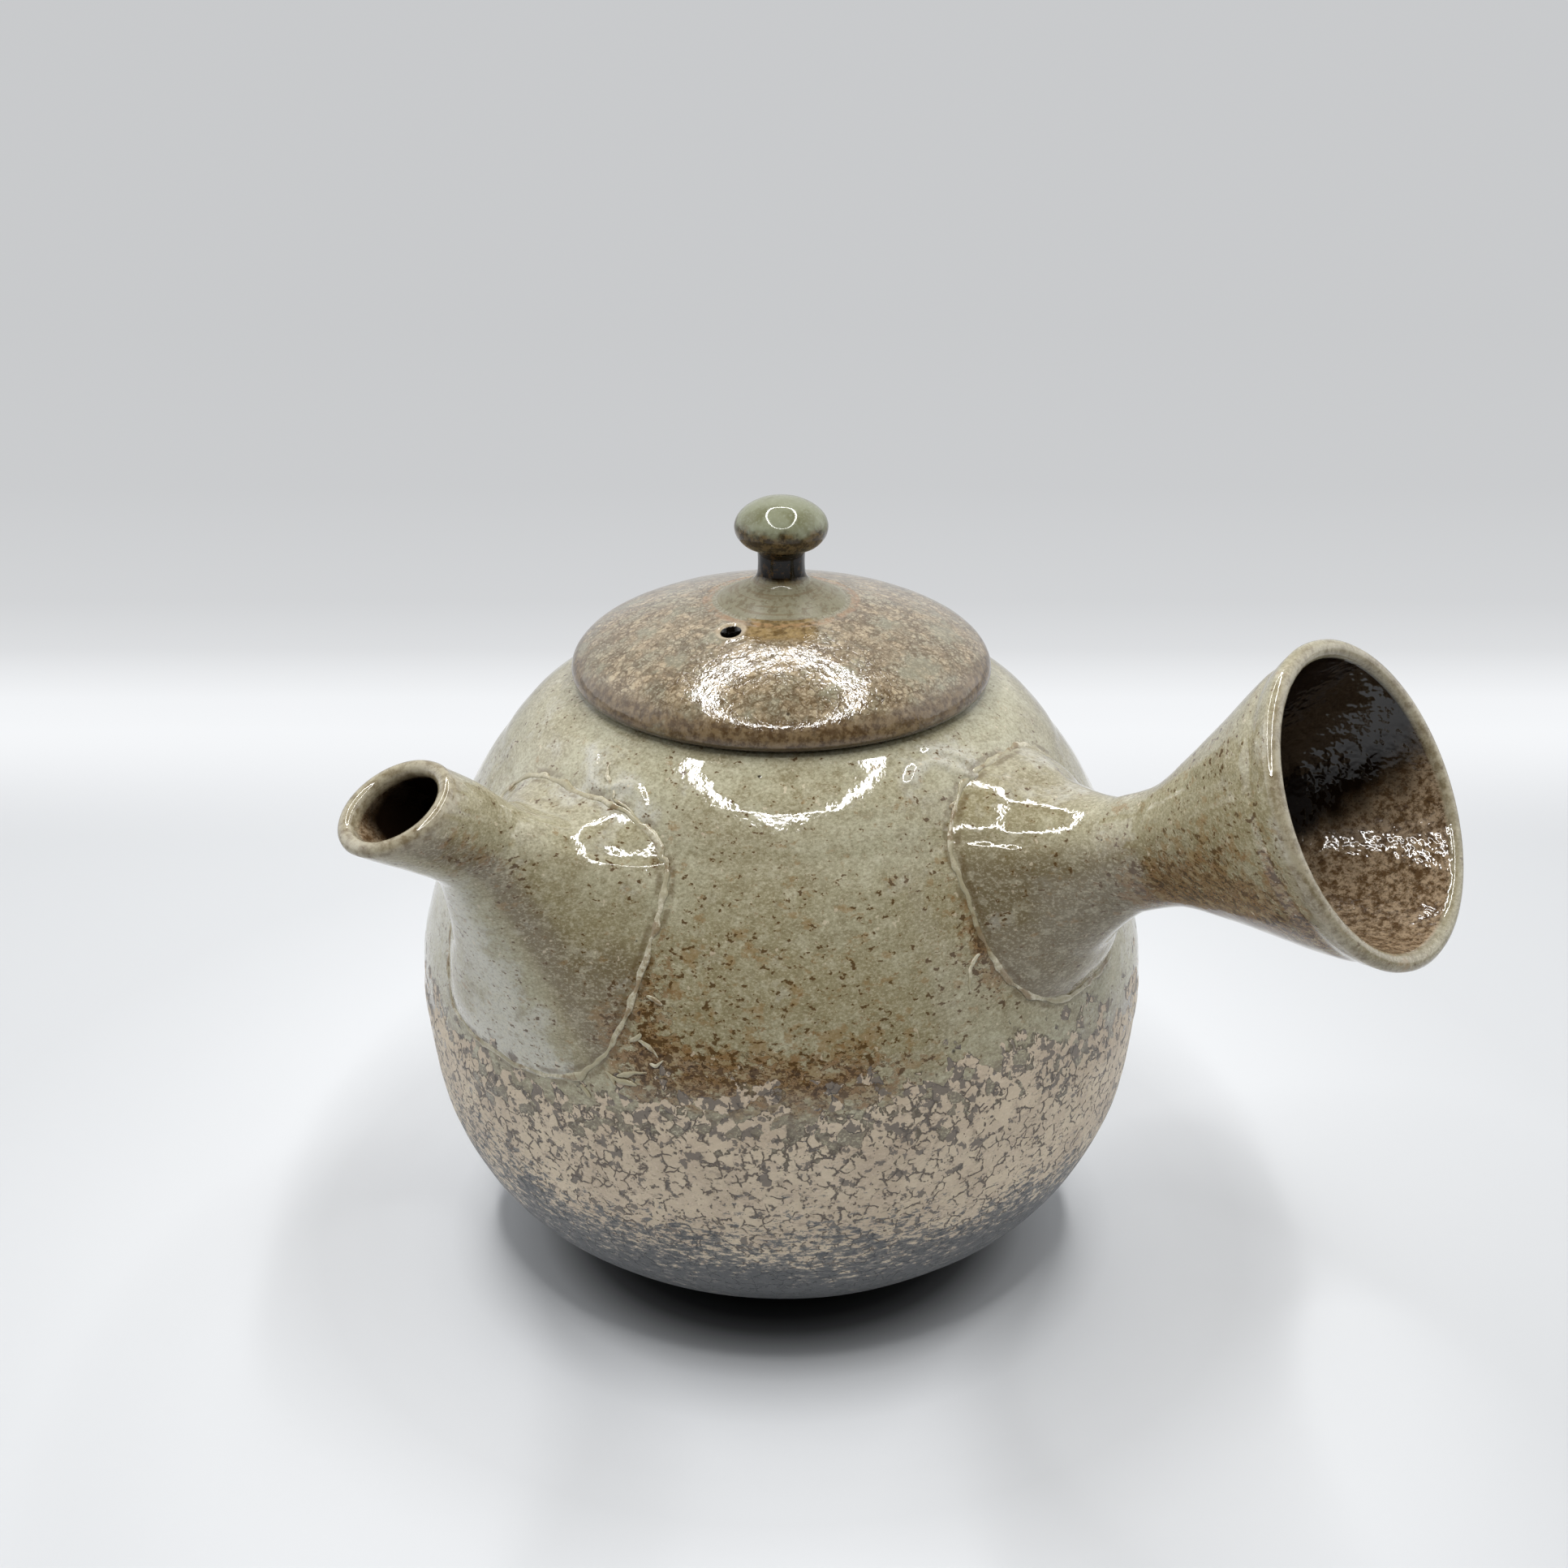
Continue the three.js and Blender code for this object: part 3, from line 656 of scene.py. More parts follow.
# Pot body
def make_pot():
    low, high = BELLY[[0, -1], 1]
    spots = np.interp(np.linspace(0, 1, POT_ROWS), np.linspace(0, 1, len(BELLY)), np.arange(len(BELLY)))
    belly = BELLY[np.round(spots).astype(int)]
    slope = np.gradient(BELLY, axis=0)
    slope /= np.linalg.norm(slope, axis=1, keepdims=True)
    inner = BELLY + np.stack([-slope[:, 1], slope[:, 0]], 1) * BODY_WALL
    inside_pot = (inner[:, 1] > INNER_FLOOR) & (inner[:, 0] > INNER_SHOULDER[0])
    inner = inner[inside_pot & (inner[:, 1] < INNER_SHOULDER[1])][::-INNER_STEP]
    outside = np.concatenate([FOOT, belly, RIM])
    outline = np.concatenate([outside, inner, WELL])
    rings = lathe_rings(outline, POT_SIDES)
    shown = slice(len(FOOT), len(FOOT) + len(belly))
    skin = rings[shown]
    lift = wave(skin, *BODY_WAVE) - BODY_WAVE[0]
    lift += wave(skin * THROWING_STRETCH, *THROWING_WAVE)
    for path in curl_paths:
        lift += CURL_SIZE[0] * bump(path_distance(skin, path), 0, CURL_SIZE[1])
    height = skin[..., 2]
    fade = np.clip((height - low) / BELLY_FADE[0], 0, 1) * np.clip((high - height) / BELLY_FADE[1], 0, 1)
    rings[shown] = skin + pot_normal(skin) * (lift * fade)[..., None]
    inside = np.zeros(rings.shape[:2])
    inside[len(outside) - BARE_RIM_ROWS:] = 1
    curls = np.min([path_distance(rings, path) for path in curl_paths], axis=0)

    def extra(marks, measures):
        return {"veil": CURL_PALE_GLAZE_AND_SHEEN[0] * np.exp(-curls / CURL_PALE_GLAZE_AND_SHEEN[1])}

    marks = glaze_marks(rings, POT_PATCHES, extra, {**PATCH_LIMITS, "veil": POT_PALE_AND_SHEEN_LIMIT})
    # The pot's inside takes the inner look, painted in shade all through
    marks.update(inside=inside, soot=inside, lip=0 * inside)
    piece = capped("pot_skin", rings, marks, start=np.zeros(3), end=np.array([0, 0, FLOOR_THICKNESS]))
    mouth = spout_bore(2, angles(PASSAGE_SIDES))
    return cut(piece, capped("passage", np.stack([mouth + end for end in PASSAGE])))


# Spout
def make_spout():
    turns = angles(SPOUT_SIDES)
    shares = np.concatenate([np.linspace(0, 1, SPOUT_ROWS[0]), np.linspace(1, 2, SPOUT_ROWS[1])[1:]])
    outer = [spout_section(share, turns) for share in shares]
    inner = [spout_bore(share, turns) for share in shares[::2]]
    push = np.array([ROOT_BURY, 0, 0])
    mouth_axis = np.array([-math.cos(SPOUT_MOUTH_TILT), 0, math.sin(SPOUT_MOUTH_TILT)])
    lip = round_lip(inner[0], outer[0], mouth_axis)
    rings = np.stack([*inner[::-1], *lip, *outer, outer[-1] + push, inner[-1] + push])
    start = len(inner) + len(lip)
    outside = np.zeros(rings.shape[:2], bool)
    outside[start:start + len(outer) - ROOT_ROWS] = True
    middle = rings.mean(1, keepdims=True)
    rings = bulged(rings, wave(rings, *SPOUT_WAVE) * outside)
    inside = np.zeros(rings.shape[:2])
    inside[:len(inner) - 1] = 1
    inside[-1] = 1

    def extra(marks, measures):
        return {"veil": SPOUT_FILLET_PAINTED_REFLECTION[0] * marks["seam"] * (measures["turn"] < SPOUT_FILLET_PAINTED_REFLECTION[1])}

    marks = glaze_marks(rings, SPOUT_PATCHES, extra, side=np.degrees(turns)[None, :])
    depth = np.linalg.norm(middle - middle[len(inner)], axis=-1) + 0 * inside
    marks.update(mouth_marks(SPOUT_MOUTH, turns, depth, inside))
    return tube("spout_skin", rings, marks)


# Handle
def make_handle():
    turns = angles(HANDLE_SIDES)
    trumpet = TRUMPET[::-1]
    outer = []
    for length, radius in trumpet:
        dip = LIP_BAND_DEPTH * bump(HANDLE_LENGTH - length, LIP_BAND_RUN, LIP_BAND_WIDTH)
        outer.append(trumpet_ring(length, radius - dip, turns))
    root = [handle_section(share, turns) for share in np.linspace(1, 2, HANDLE_ROOT_ROWS)[1:]]
    inner = [trumpet_ring(length, radius - HANDLE_WALL, turns) for length, radius in trumpet[::2]][::-1]
    bore = HANDLE_NECK_RADIUS - HANDLE_WALL
    end = [
        trumpet_ring(HANDLE_BORE_START - bore * math.cos(t), bore * math.sin(t), turns)
        for t in np.radians(HANDLE_BORE_END)
    ]
    lip = round_lip(inner[-1], outer[0], HANDLE_OUT)
    push = np.array([ROOT_BURY, 0, 0])
    rings = np.stack([*end, *inner, *lip, *outer, *root, root[-1] + push])
    start = len(end) + len(inner) + len(lip)
    outside = np.zeros(rings.shape[:2], bool)
    outside[start:start + len(outer) + len(root) - ROOT_ROWS] = True
    rings = bulged(rings, wave(rings, *HANDLE_WAVE) * outside)
    inside = np.zeros(rings.shape[:2])
    inside[:start - len(lip)] = 1
    length = (rings - (0, 0, HANDLE_HEIGHT)) @ HANDLE_OUT
    depth = HANDLE_LENGTH - length
    low_side = np.cos(turns) * HANDLE_LOW_SIDE[0] - np.sin(turns) * HANDLE_LOW_SIDE[1]
    low_side = np.clip(low_side, 0, 1)[None, :]
    flare = np.maximum(plateau(length, *HANDLE_FLARE), bump(depth, *LIP_GROOVE))

    def extra(marks, measures):
        return {"rust": patched(HANDLE_STREAKS, measures) * flare, "olive": HANDLE_LOW_PAINTED_SHADE * low_side}

    around = (np.degrees(turns)[None, :] + 180) % 360 - 180
    rings = turned_about_z(rings, HANDLE_TURN)
    marks = glaze_marks(rings, HANDLE_PATCHES, extra, length=length, around=around, depth=depth)
    marks.update(mouth_marks(HANDLE_MOUTH, turns, depth, inside))
    return capped("handle_skin", rings, marks)


# Slip ridges and cracks
def make_seam(name, seam, branches):
    """Thin ridges round a root and along the cracks beside it, which fade out at open ends."""
    points, faces = [], []
    section = angles(RIDGE_SIDES)
    paths = [(seam, *SEAM_SIZE, True)]
    paths += [(branch, *BRANCH_SIZE, False) for branch in branch_paths(branches)]
    for path, width, height, closed in paths:
        count = len(path)
        along = np.roll(path, -1, 0) - np.roll(path, 1, 0) if closed else np.gradient(path, axis=0)
        along /= np.linalg.norm(along, axis=1, keepdims=True)
        normal = pot_normal(path)
        across = np.cross(normal, along)
        across /= np.linalg.norm(across, axis=1, keepdims=True)
        uneven = np.clip(1 + wave(path, *RIDGE_WAVE), *RIDGE_LIMITS)
        taper = np.ones(count)
        if not closed:
            taper = np.sin(np.linspace(RIDGE_TAPER, math.pi - RIDGE_TAPER, count)) ** 0.5
        size = (uneven * taper)[:, None, None]
        middle = (path + across * wave(path, *RIDGE_DRIFT)[:, None])[:, None]
        rings = (
            middle + across[:, None] * np.cos(section)[None, :, None] * width * size
            + normal[:, None] * np.sin(section)[None, :, None] * height * size
        )
        faces += ended_faces(len(points), count, RIDGE_SIDES, closed)
        points += rings.reshape(-1, 3).tolist()
    return make_mesh(name, points, faces)


# Lid
def make_lid_dome():
    turns = np.linspace(0.0, math.pi / 2, LID_ROWS)
    top = np.stack([
        LID_RADIUS * np.cos(turns) ** DOME_ROUNDNESS,
        LID_BASE + LID_EDGE_HEIGHT + LID_RISE * np.sin(turns) ** DOME_FLATNESS,
    ], 1)
    top = top[top[:, 0] > LID_TOP_START]
    top[:, 1] += LID_CROWN[0] * bump(top[:, 0], *LID_CROWN[1:])
    for radius, width, depth in RING_GROOVES:
        top[:, 1] -= depth * bump(top[:, 0], radius, width)
    outline = np.concatenate([LID_CEILING, LID_EDGE, top])
    rings = lathe_rings(outline, LID_SIDES)
    shown = np.arange(len(outline)) >= len(LID_CEILING) + 2
    lift = wave(rings, *LID_WAVE) + wave(rings * LID_STRETCH, *LID_THROWING) - LID_DROP
    rings[..., 2] += lift * shown[:, None] * np.clip((rings[..., 2] - LID_BASE) / LID_FADE, 0, 1)
    vent = np.array([-VENT_REACH * math.cos(VENT_TURN), -VENT_REACH * math.sin(VENT_TURN)])
    gap = np.linalg.norm(rings[..., :2] - vent, axis=-1)
    swell = sum(height * bump(gap, middle, spread) for height, middle, spread in (VENT_LIP, VENT_DIP))
    rings[..., 2] += swell * shown[:, None]
    start = np.array([0, 0, KNOB_SEAT - LID_THICKNESS])
    piece = capped("lid_dome_skin", rings, start=start, end=np.array([0, 0, KNOB_SEAT]))
    drill = lathe_rings([(VENT_RADIUS, height) for height in VENT_DRILL], VENT_SIDES)
    drill[..., :2] += vent
    return cut(piece, capped("drill", drill))


def make_lid_flange():
    outline = []
    for start, end in zip(FLANGE[:-1], FLANGE[1:]):
        start, end = np.array(start), np.array(end)
        count = max(int(np.linalg.norm(end - start) / FLANGE_STEP), 1)
        outline += [start + (end - start) * i / count for i in range(count)]
    return tube("lid_flange_ring", lathe_rings([*outline, FLANGE[-1]], FLANGE_SIDES))


def make_knob():
    outline = smooth_curve(KNOB_OUTLINE, KNOB_STEPS) + (0, KNOB_SEAT)
    outline = np.concatenate([[(KNOB_HIDDEN_RADIUS, KNOB_SEAT - KNOB_SINK)], outline])
    rings = lathe_rings(outline, KNOB_SIDES)
    lift = wave(rings, *KNOB_WAVE)
    rings[1:, :, :2] *= 1 + (lift[1:] / KNOB_GIRTH)[..., None]
    start, end = (np.array([0, 0, KNOB_SEAT + height]) for height in (-KNOB_SINK, KNOB_HEIGHT))
    return capped("lid_knob_skin", rings, start=start, end=end)


# Strainer
def make_strainer():
    turns = angles(STRAINER_SIDES)
    shift, height = SPOUT_ROOT["shift"], SPOUT_ROOT["height"]
    centre = np.array([-math.sqrt((pot_radius(height) - BODY_WALL) ** 2 - shift ** 2), shift, height])

    def spot(radius, lean):
        ahead, aside = radius * np.cos(lean) + 0 * turns, radius * np.sin(lean)
        return centre + np.stack([ahead, aside * np.cos(turns), aside * np.sin(turns)], -1)

    spots = np.stack([spot(STRAINER_RADIUS, lean) for lean in STRAINER_LEANS])
    wall = pot_radius(spots[..., 2]) - BODY_WALL + STRAINER_SINK
    inside = np.hypot(spots[..., 0], spots[..., 1]) < wall
    furthest = STRAINER_LEANS[np.argmin(inside, axis=0)]
    furthest = np.where(inside.all(0), STRAINER_LEANS[-1], furthest)
    thin = STRAINER_RADIUS - STRAINER_THICKNESS
    outer = [spot(STRAINER_RADIUS, share * furthest) for share in STRAINER_SHARES]
    inner = [spot(thin, share * furthest) for share in STRAINER_SHARES[::-1]]
    first, last = (centre + (radius, 0, 0) for radius in (STRAINER_RADIUS, thin))
    piece = capped("strainer_screen", np.stack([*outer, *inner]), start=first, end=last)
    points, faces = [], []
    for i in range(STRAINER_HOLES):
        lean = math.sqrt((i + 1) / STRAINER_HOLES) * STRAINER_SPREAD
        turn = i * math.pi * (3 - math.sqrt(5))
        axis = np.array([math.cos(lean), math.sin(lean) * math.sin(turn), -math.sin(lean) * math.cos(turn)])
        across = np.cross(axis, STRAINER_UP)
        across /= np.linalg.norm(across)
        up = np.cross(axis, across)
        faces += ended_faces(len(points), 2, HOLE_SIDES, False)
        for reach in (thin - STRAINER_THICKNESS, STRAINER_RADIUS + STRAINER_THICKNESS):
            middle = centre + axis * reach
            hole = ellipse(middle, across, STRAINER_HOLE_RADIUS, up, STRAINER_HOLE_RADIUS, angles(HOLE_SIDES))
            points += hole.tolist()
    return weld(cut(piece, make_mesh("drills", points, faces)))


class Nodes:
    """Builds shading nodes. Patterns have names, which stand for them wherever a value goes."""

    def __init__(self, owner):
        owner.use_nodes = True
        self.tree = owner.node_tree
        self.tree.nodes.clear()
        self.patterns = {}

    def node(self, kind, inputs=(), **settings):
        """A node with its settings, whose inputs are fed in order or by name."""
        node = self.tree.nodes.new("ShaderNode" + kind)
        for key, value in settings.items():
            setattr(node, key, value)
        for socket, value in inputs.items() if isinstance(inputs, dict) else enumerate(inputs):
            self.feed(node.inputs[socket], value)
        return node

    def feed(self, socket, value):
        value = self.patterns[value] if isinstance(value, str) else value
        if isinstance(value, bpy.types.NodeSocket):
            self.tree.links.new(value, socket)
        else:
            socket.default_value = value

    def math(self, operation, *values):
        return self.node("Math", values, operation=operation).outputs[0]

    def add(self, *values):
        return functools.reduce(lambda a, b: self.math("ADD", a, b), values)

    def times(self, *values):
        return functools.reduce(lambda a, b: self.math("MULTIPLY", a, b), values)

    def length(self, a, b):
        return self.math("SQRT", self.math("ADD", self.math("POWER", a, 2), self.math("POWER", b, 2)))

    def between(self, value, low, high, to_low, to_high, **settings):
        spans = {"Value": value, "From Min": low, "From Max": high, "To Min": to_low, "To Max": to_high}
        return self.node("MapRange", spans, **settings).outputs["Result"]

    def step(self, value, low, high):
        """0 up to low, 1 from high, smooth between."""
        return self.between(value, low, high, 0.0, 1.0, interpolation_type="SMOOTHSTEP")

    def total(self, base=0.0, limits=None, **weights):
        """A weighted sum of patterns, which may be stepped between limits."""
        value = self.add(*(self.times(name, weight) for name, weight in weights.items()), base)
        return self.step(value, *limits) if limits else value

    def product(self, factors):
        """A product of patterns. One given with limits is stepped between them."""
        return self.times(*(f if isinstance(f, str) else self.step(*f) for f in factors))

    def learn(self, recipes):
        """Name patterns: a dict is a weighted sum, a list a product, and a tuple a noise or a named way."""
        for name, recipe in recipes.items():
            if isinstance(recipe, dict):
                value = self.total(**recipe)
            elif isinstance(recipe, list):
                value = self.product(recipe)
            elif isinstance(recipe[0], str):
                value = getattr(self, recipe[0])(*recipe[1:])
            else:
                value = self.noise(*recipe)
            self.patterns[name] = value


class Shader(Nodes):
    """Builds a material. Places are in the piece's own millimetres."""

    def __init__(self, name, marks=()):
        self.material = bpy.data.materials.new(name)
        super().__init__(self.material)
        self.skin = self.node("BsdfPrincipled")
        self.node("OutputMaterial", {"Surface": self.skin.outputs["BSDF"]})
        self.place = self.scaled(self.node("TexCoord").outputs["Object"], (1 / MM, 1 / MM, 1 / MM))
        x, y, z = self.node("SeparateXYZ", [self.place]).outputs
        self.patterns.update(x=x, y=y, z=z, radius=self.length(x, y))
        for mark in marks:
            self.patterns[mark] = self.node("Attribute", attribute_name=mark).outputs["Fac"]

    def scaled(self, vector, factors):
        return self.node("VectorMath", [vector, factors], operation="MULTIPLY").outputs[0]

    def noise(self, size, detail=2.0, roughness=0.5, stretch=None):
        """Noise of 0 to 1 whose features are about size wide."""
        place = self.scaled(self.place, stretch) if stretch else self.place
        inputs = {"Vector": place, "Scale": 1 / size, "Detail": detail, "Roughness": roughness}
        return self.node("TexNoise", inputs).outputs["Fac"]

    def cells(self, size, place, feature="F1"):
        return self.node("TexVoronoi", {"Vector": place, "Scale": 1 / size}, feature=feature).outputs

    def mix(self, share, a, b):
        return self.node("Mix", {0: share, 6: a, 7: b}, data_type="RGBA").outputs[2]

    def spots(self, size, radius, share):
        """Round spots, in that share of cells of that size."""
        cells = self.cells(size, self.place)
        chosen = self.node("SeparateColor", [cells["Color"]]).outputs
        here = self.math("LESS_THAN", chosen[0], share)
        reach = self.times(radius / size, self.between(chosen[1], 0, 1, SPOT_LEAST, 1.0))
        fuzz = self.times(self.noise(radius * SPOT_FUZZ[0]), SPOT_FUZZ[1] * radius / size)
        gap = self.math("SUBTRACT", self.add(cells["Distance"], fuzz), reach)
        return self.times(here, self.step(self.times(gap, -size / radius), *SPOT_EDGE))

    def plates(self, size, shake, ripple):
        """Plates with shaken edges: a value for each, and the distance to its edge in plate widths."""
        shaking = self.node("TexNoise", {"Vector": self.place, "Scale": 1 / ripple, "Detail": PLATE_DETAIL})
        push = self.scaled(shaking.outputs["Color"], (shake, shake, shake))
        place = self.node("VectorMath", [self.place, push]).outputs[0]
        value = self.node("SeparateColor", [self.cells(size, place)["Color"]]).outputs[0]
        return value, self.cells(size, place, "DISTANCE_TO_EDGE")["Distance"]

    def shade(self, recipe):
        """A tone of three screen values, a pattern and the two tones that it mixes, or a whole look."""
        if isinstance(recipe, dict):
            return self.layered(self.shade(recipe["ground"]), recipe["layers"])
        if isinstance(recipe[0], (str, tuple)):
            pattern, first, second = recipe
            return self.mix(self.product([pattern]), tone(*first), tone(*second))
        return tone(*recipe)

    def layered(self, colour, layers):
        """Shades laid on a colour, each by a pattern, its limits if it is stepped, and a share."""
        for pattern, *limits, share, shade in layers:
            mask = self.step(pattern, *limits) if limits else pattern
            colour = self.mix(self.times(mask, share), colour, self.shade(shade))
        return colour

    def finish(self, look, relief, ior=None):
        bump_inputs = {"Strength": 1.0, "Distance": relief * MM, "Height": "height"}
        self.feed(self.skin.inputs["Normal"], self.node("Bump", bump_inputs).outputs[0])
        self.feed(self.skin.inputs["Base Color"], self.shade(look))
        self.feed(self.skin.inputs["Roughness"], "roughness")
        if ior:
            self.skin.inputs["IOR"].default_value = ior
        return self.material


# Spots: the smallest as a share of the largest, their fuzz and their soft edge. Plates: detail of their edges
SPOT_LEAST = 0.55
SPOT_FUZZ = (1.2, 0.5)
SPOT_EDGE = (-0.25, 0.3)
PLATE_DETAIL = 2.0

# Patterns of each material. A noise is its feature size, detail, roughness and stretch.
THROWN = (1.0, 1.0, 1.6)
GLAZE_MARKS = ("rust", "seam", "edge", "olive", "veil", "lip", "soot", "inside")
GLAZE_PLATES = {("tile", "gap"): (1.5, 0.9, 1.0)}
GLAZE_PATTERNS = {
    "large_spots": ("spots", 7.0, 0.42, 0.3), "small_spots": ("spots", 3.4, 0.24, 0.25),
    "faint_spots": {"small_spots": 0.85},
    "specks": ("math", "MAXIMUM", "large_spots", "faint_spots"),
    "above": ("math", "MAXIMUM", "edge", 0.0),
    "cloud": (10.0, 3.0, 0.55), "haze": (5.0, 4.0, 0.65), "wide": (5.0, 2.0), "island": (3.0, 2.0),
    "crumb": (0.8, 2.0), "sprinkle": (2.4, 3.0), "dot": (1.0, 2.0), "field": (6.0, 3.0),
    "dapple": (1.5, 3.0, 0.6), "breaks": (1.6, 3.0, 0.7), "bottom_cloud": (12.0, 2.0), "rim_cloud": (1.4, 4.0, 0.7),
    "inner_cloud": (1.0, 5.0, 0.75), "hollow_shade_noise": (2.0, 4.0, 0.7), "fine": (0.6, 1.0), "broad": (3.0, 1.0),
    "dent": (1.8, 2.0), "grit": (0.9, 3.0, 0.6),
    "grain": (0.42, 4.0, 0.75, THROWN), "fleck": (1.1, 3.0, 0.65, THROWN), "clump": (1.5, 5.0, 0.72, THROWN),
    "mottle": (2.4, 3.0, 0.6, THROWN), "smear": (2.6, 4.0, 0.65, THROWN), "vein": (1.5, 3.0, 0.6, THROWN),
    "freckle": (1.0, 2.5, 0.6, THROWN), "streak": (1.5, 4.0, 0.75, (1.0, 1.0, 2.6)),
    "broken": {"cloud": 1, "fleck": 0.35, "limits": (0.46, 0.74)},
    "thinned_and_painted_shade": ["olive", "broken"],
    "cover": {"olive": 0.55, "thinned_and_painted_shade": 0.45},
    "thick_and_sheen": {"haze": 1, "veil": 0.36, "limits": (0.58, 0.86)},
    "milk_and_painted_sheen": [("veil", 0.7, 1.0), ("thick_and_sheen", 0.3, 0.9)],
    "smeared": {"smear": 1, "rust": 0.26},
    "stain": {"clump": 1, "rust": 0.30, "seam": 0.04},
    "vein_middle": {"vein": 1, "base": -0.5},
    "ridge": ("math", "ABSOLUTE", "vein_middle"),
    "rusty": {"rust": 1, "island": 0.8, "limits": (0.85, 1.25)},
    "veins": [("ridge", 0.028, 0.008), "rusty"],
    "dark": {"freckle": 1, "rust": 0.14, "wide": 0.2},
    "beside": [("seam", 0.60, 0.72), ("seam", 0.93, 0.80), ("sprinkle", 0.42, 0.56)],
    "ragged": {"tile": 0.56, "island": 0.6, "crumb": 0.3, "base": -0.73},
    "thin": {"edge": -1 / 13, "above": -1 / 14, "ragged": 1.9, "base": 0.08},
    "bare": [("thin", 0.0, 0.03)],
    "grey": [("edge", 4.0, 0.0), ("fleck", 0.52, 0.44)],
    "crust": [("edge", 0.5, -1.5), ("grain", 0.62, 0.48)],
    "rim": [("thin", -0.12, -0.02), ("thin", 0.04, 0.0), ("edge", 7.0, 2.0)],
    "cracks": [("gap", 0.085, 0.03), ("breaks", 0.49, 0.56)],
    "near_edge": [("edge", -14.0, 0.0)],
    "patch": {"tile": 0.2, "dapple": 1, "near_edge": 0.06},
    "painted_hollow_shade_mask": {"soot": 1, "hollow_shade_noise": 0.5},
    "low": ("between", "z", 36.0, 15.0, -0.06, 0.36),
    "foot": {"streak": 1, "bottom_cloud": 0.35, "low": 1},
    "inner_waves": ["inside", "dent"], "bare_cracks": ["bare", "cracks"], "bare_grit": ["bare", "grit"],
    "height": {
        "fine": 0.2, "broad": 0.9, "inner_waves": 2.6, "specks": -0.4, "bare": -0.6, "bare_cracks": -1.6,
        "bare_grit": 0.9,
    },
    "shine": (1.4, 3.0, 0.6),
    "gloss": ("between", "shine", 0.35, 0.65, 0.05, 0.10),
    "roughness": {"gloss": 1, "bare": 0.36},
}

# Looks of each material: a ground and its layers, the lowest first. A layer is a pattern, its limits if
# it is stepped, a share and a shade.
BARE_LOOK = {
    "ground": (("field", 0.38, 0.64), (203, 187, 161), (187, 170, 145)),
    "layers": [
        ("tile", 0.1, 0.9, 0.35, (172, 152, 132)),
        ("grain", 0.50, 0.66, 0.5, (220, 204, 184)),
        ("fleck", 0.44, 0.34, 0.55, (132, 116, 100)),
        ("cracks", 0.9, (74, 62, 52)),
        ("patch", 0.735, 0.75, 0.85, (94, 86, 78)),
        # Blue-grey, darker towards the bottom
        ("foot", 0.80, 0.84, 0.9, (98, 98, 97)),
        ("foot", 0.88, 0.94, 0.85, (54, 58, 62)),
    ],
}
# Inside the hollows: brown glaze, with painted shade that deepens away from the mouth and on the side turned
# from the light
INNER_LOOK = {
    "ground": (("inner_cloud", 0.40, 0.60), (92, 70, 46), (168, 146, 118)),
    "layers": [("grain", 0.52, 0.34, 0.7, (52, 38, 26)), ("painted_hollow_shade_mask", 0.42, 0.95, 1.0, (18, 11, 6))],
}
GLAZE_LOOK = {
    "ground": (("cloud", 0.36, 0.64), (165, 161, 136), (150, 143, 116)),
    "layers": [
        # Thin olive glaze, partly painted shade under the handle and on the handle's low side
        ("cover", 0.8, (140, 130, 98)),
        ("olive", 0.95, 1.5, 0.75, (108, 96, 76)),
        # Thick milky glaze, partly painted sheen and reflection on the sides, tops and root fillets
        ("thick_and_sheen", 0.75, (188, 186, 175)),
        ("milk_and_painted_sheen", 0.25, (208, 208, 198)),
        ("mottle", 0.54, 0.68, 0.35, (188, 183, 160)),
        ("mottle", 0.46, 0.33, 0.4, (116, 104, 74)),
        ("grain", 0.50, 0.64, 0.42, (202, 195, 170)),
        ("grain", 0.49, 0.36, 0.45, (106, 94, 66)),
        ("fleck", 0.55, 0.64, 0.25, (190, 184, 160)),
        ("fleck", 0.44, 0.34, 0.3, (114, 101, 72)),
        ("smeared", 0.66, 0.74, 0.5, (136, 106, 64)),
        ("stain", 0.74, 0.78, 0.55, (120, 82, 44)),
        ("veins", 0.75, (66, 46, 24)),
        ("dark", 0.74, 0.80, 0.5, (124, 96, 58)),
        ("dark", 0.785, 0.81, 0.8, (70, 49, 25)),
        ("stain", 0.87, 0.89, 0.85, (54, 36, 18)),
        ("dot", 0.69, 0.74, 0.55, (206, 192, 168)),
        ("specks", 0.95, (32, 22, 12)),
        ("beside", 0.55, (92, 74, 46)),
        ("grey", 0.5, (124, 112, 92)),
        ("crust", 0.85, (("tile", 0.3, 0.7), (114, 104, 88), (84, 75, 62))),
        ("rim", 0.75, (72, 60, 44)),
        ("bare", 1.0, BARE_LOOK),
        ("lip", 0.85, (("rim_cloud", 0.36, 0.62), (116, 102, 78), (166, 157, 134))),
        ("inside", 1.0, INNER_LOOK),
    ],
}

SLIP_PATTERNS = {
    "grain": (0.5, 4.0, 0.75), "cloud": (4.0, 3.0), "patch": (2.6, 4.0, 0.7), "height": (0.7, 1.0),
    "roughness": ("between", "grain", 0.3, 0.7, 0.08, 0.16),
}
SLIP_LOOK = {
    "ground": (("grain", 0.40, 0.62), (170, 162, 137), (204, 197, 175)),
    "layers": [("cloud", 0.42, 0.56, 0.8, (154, 146, 118)), ("patch", 0.52, 0.62, 0.75, (122, 100, 68))],
}

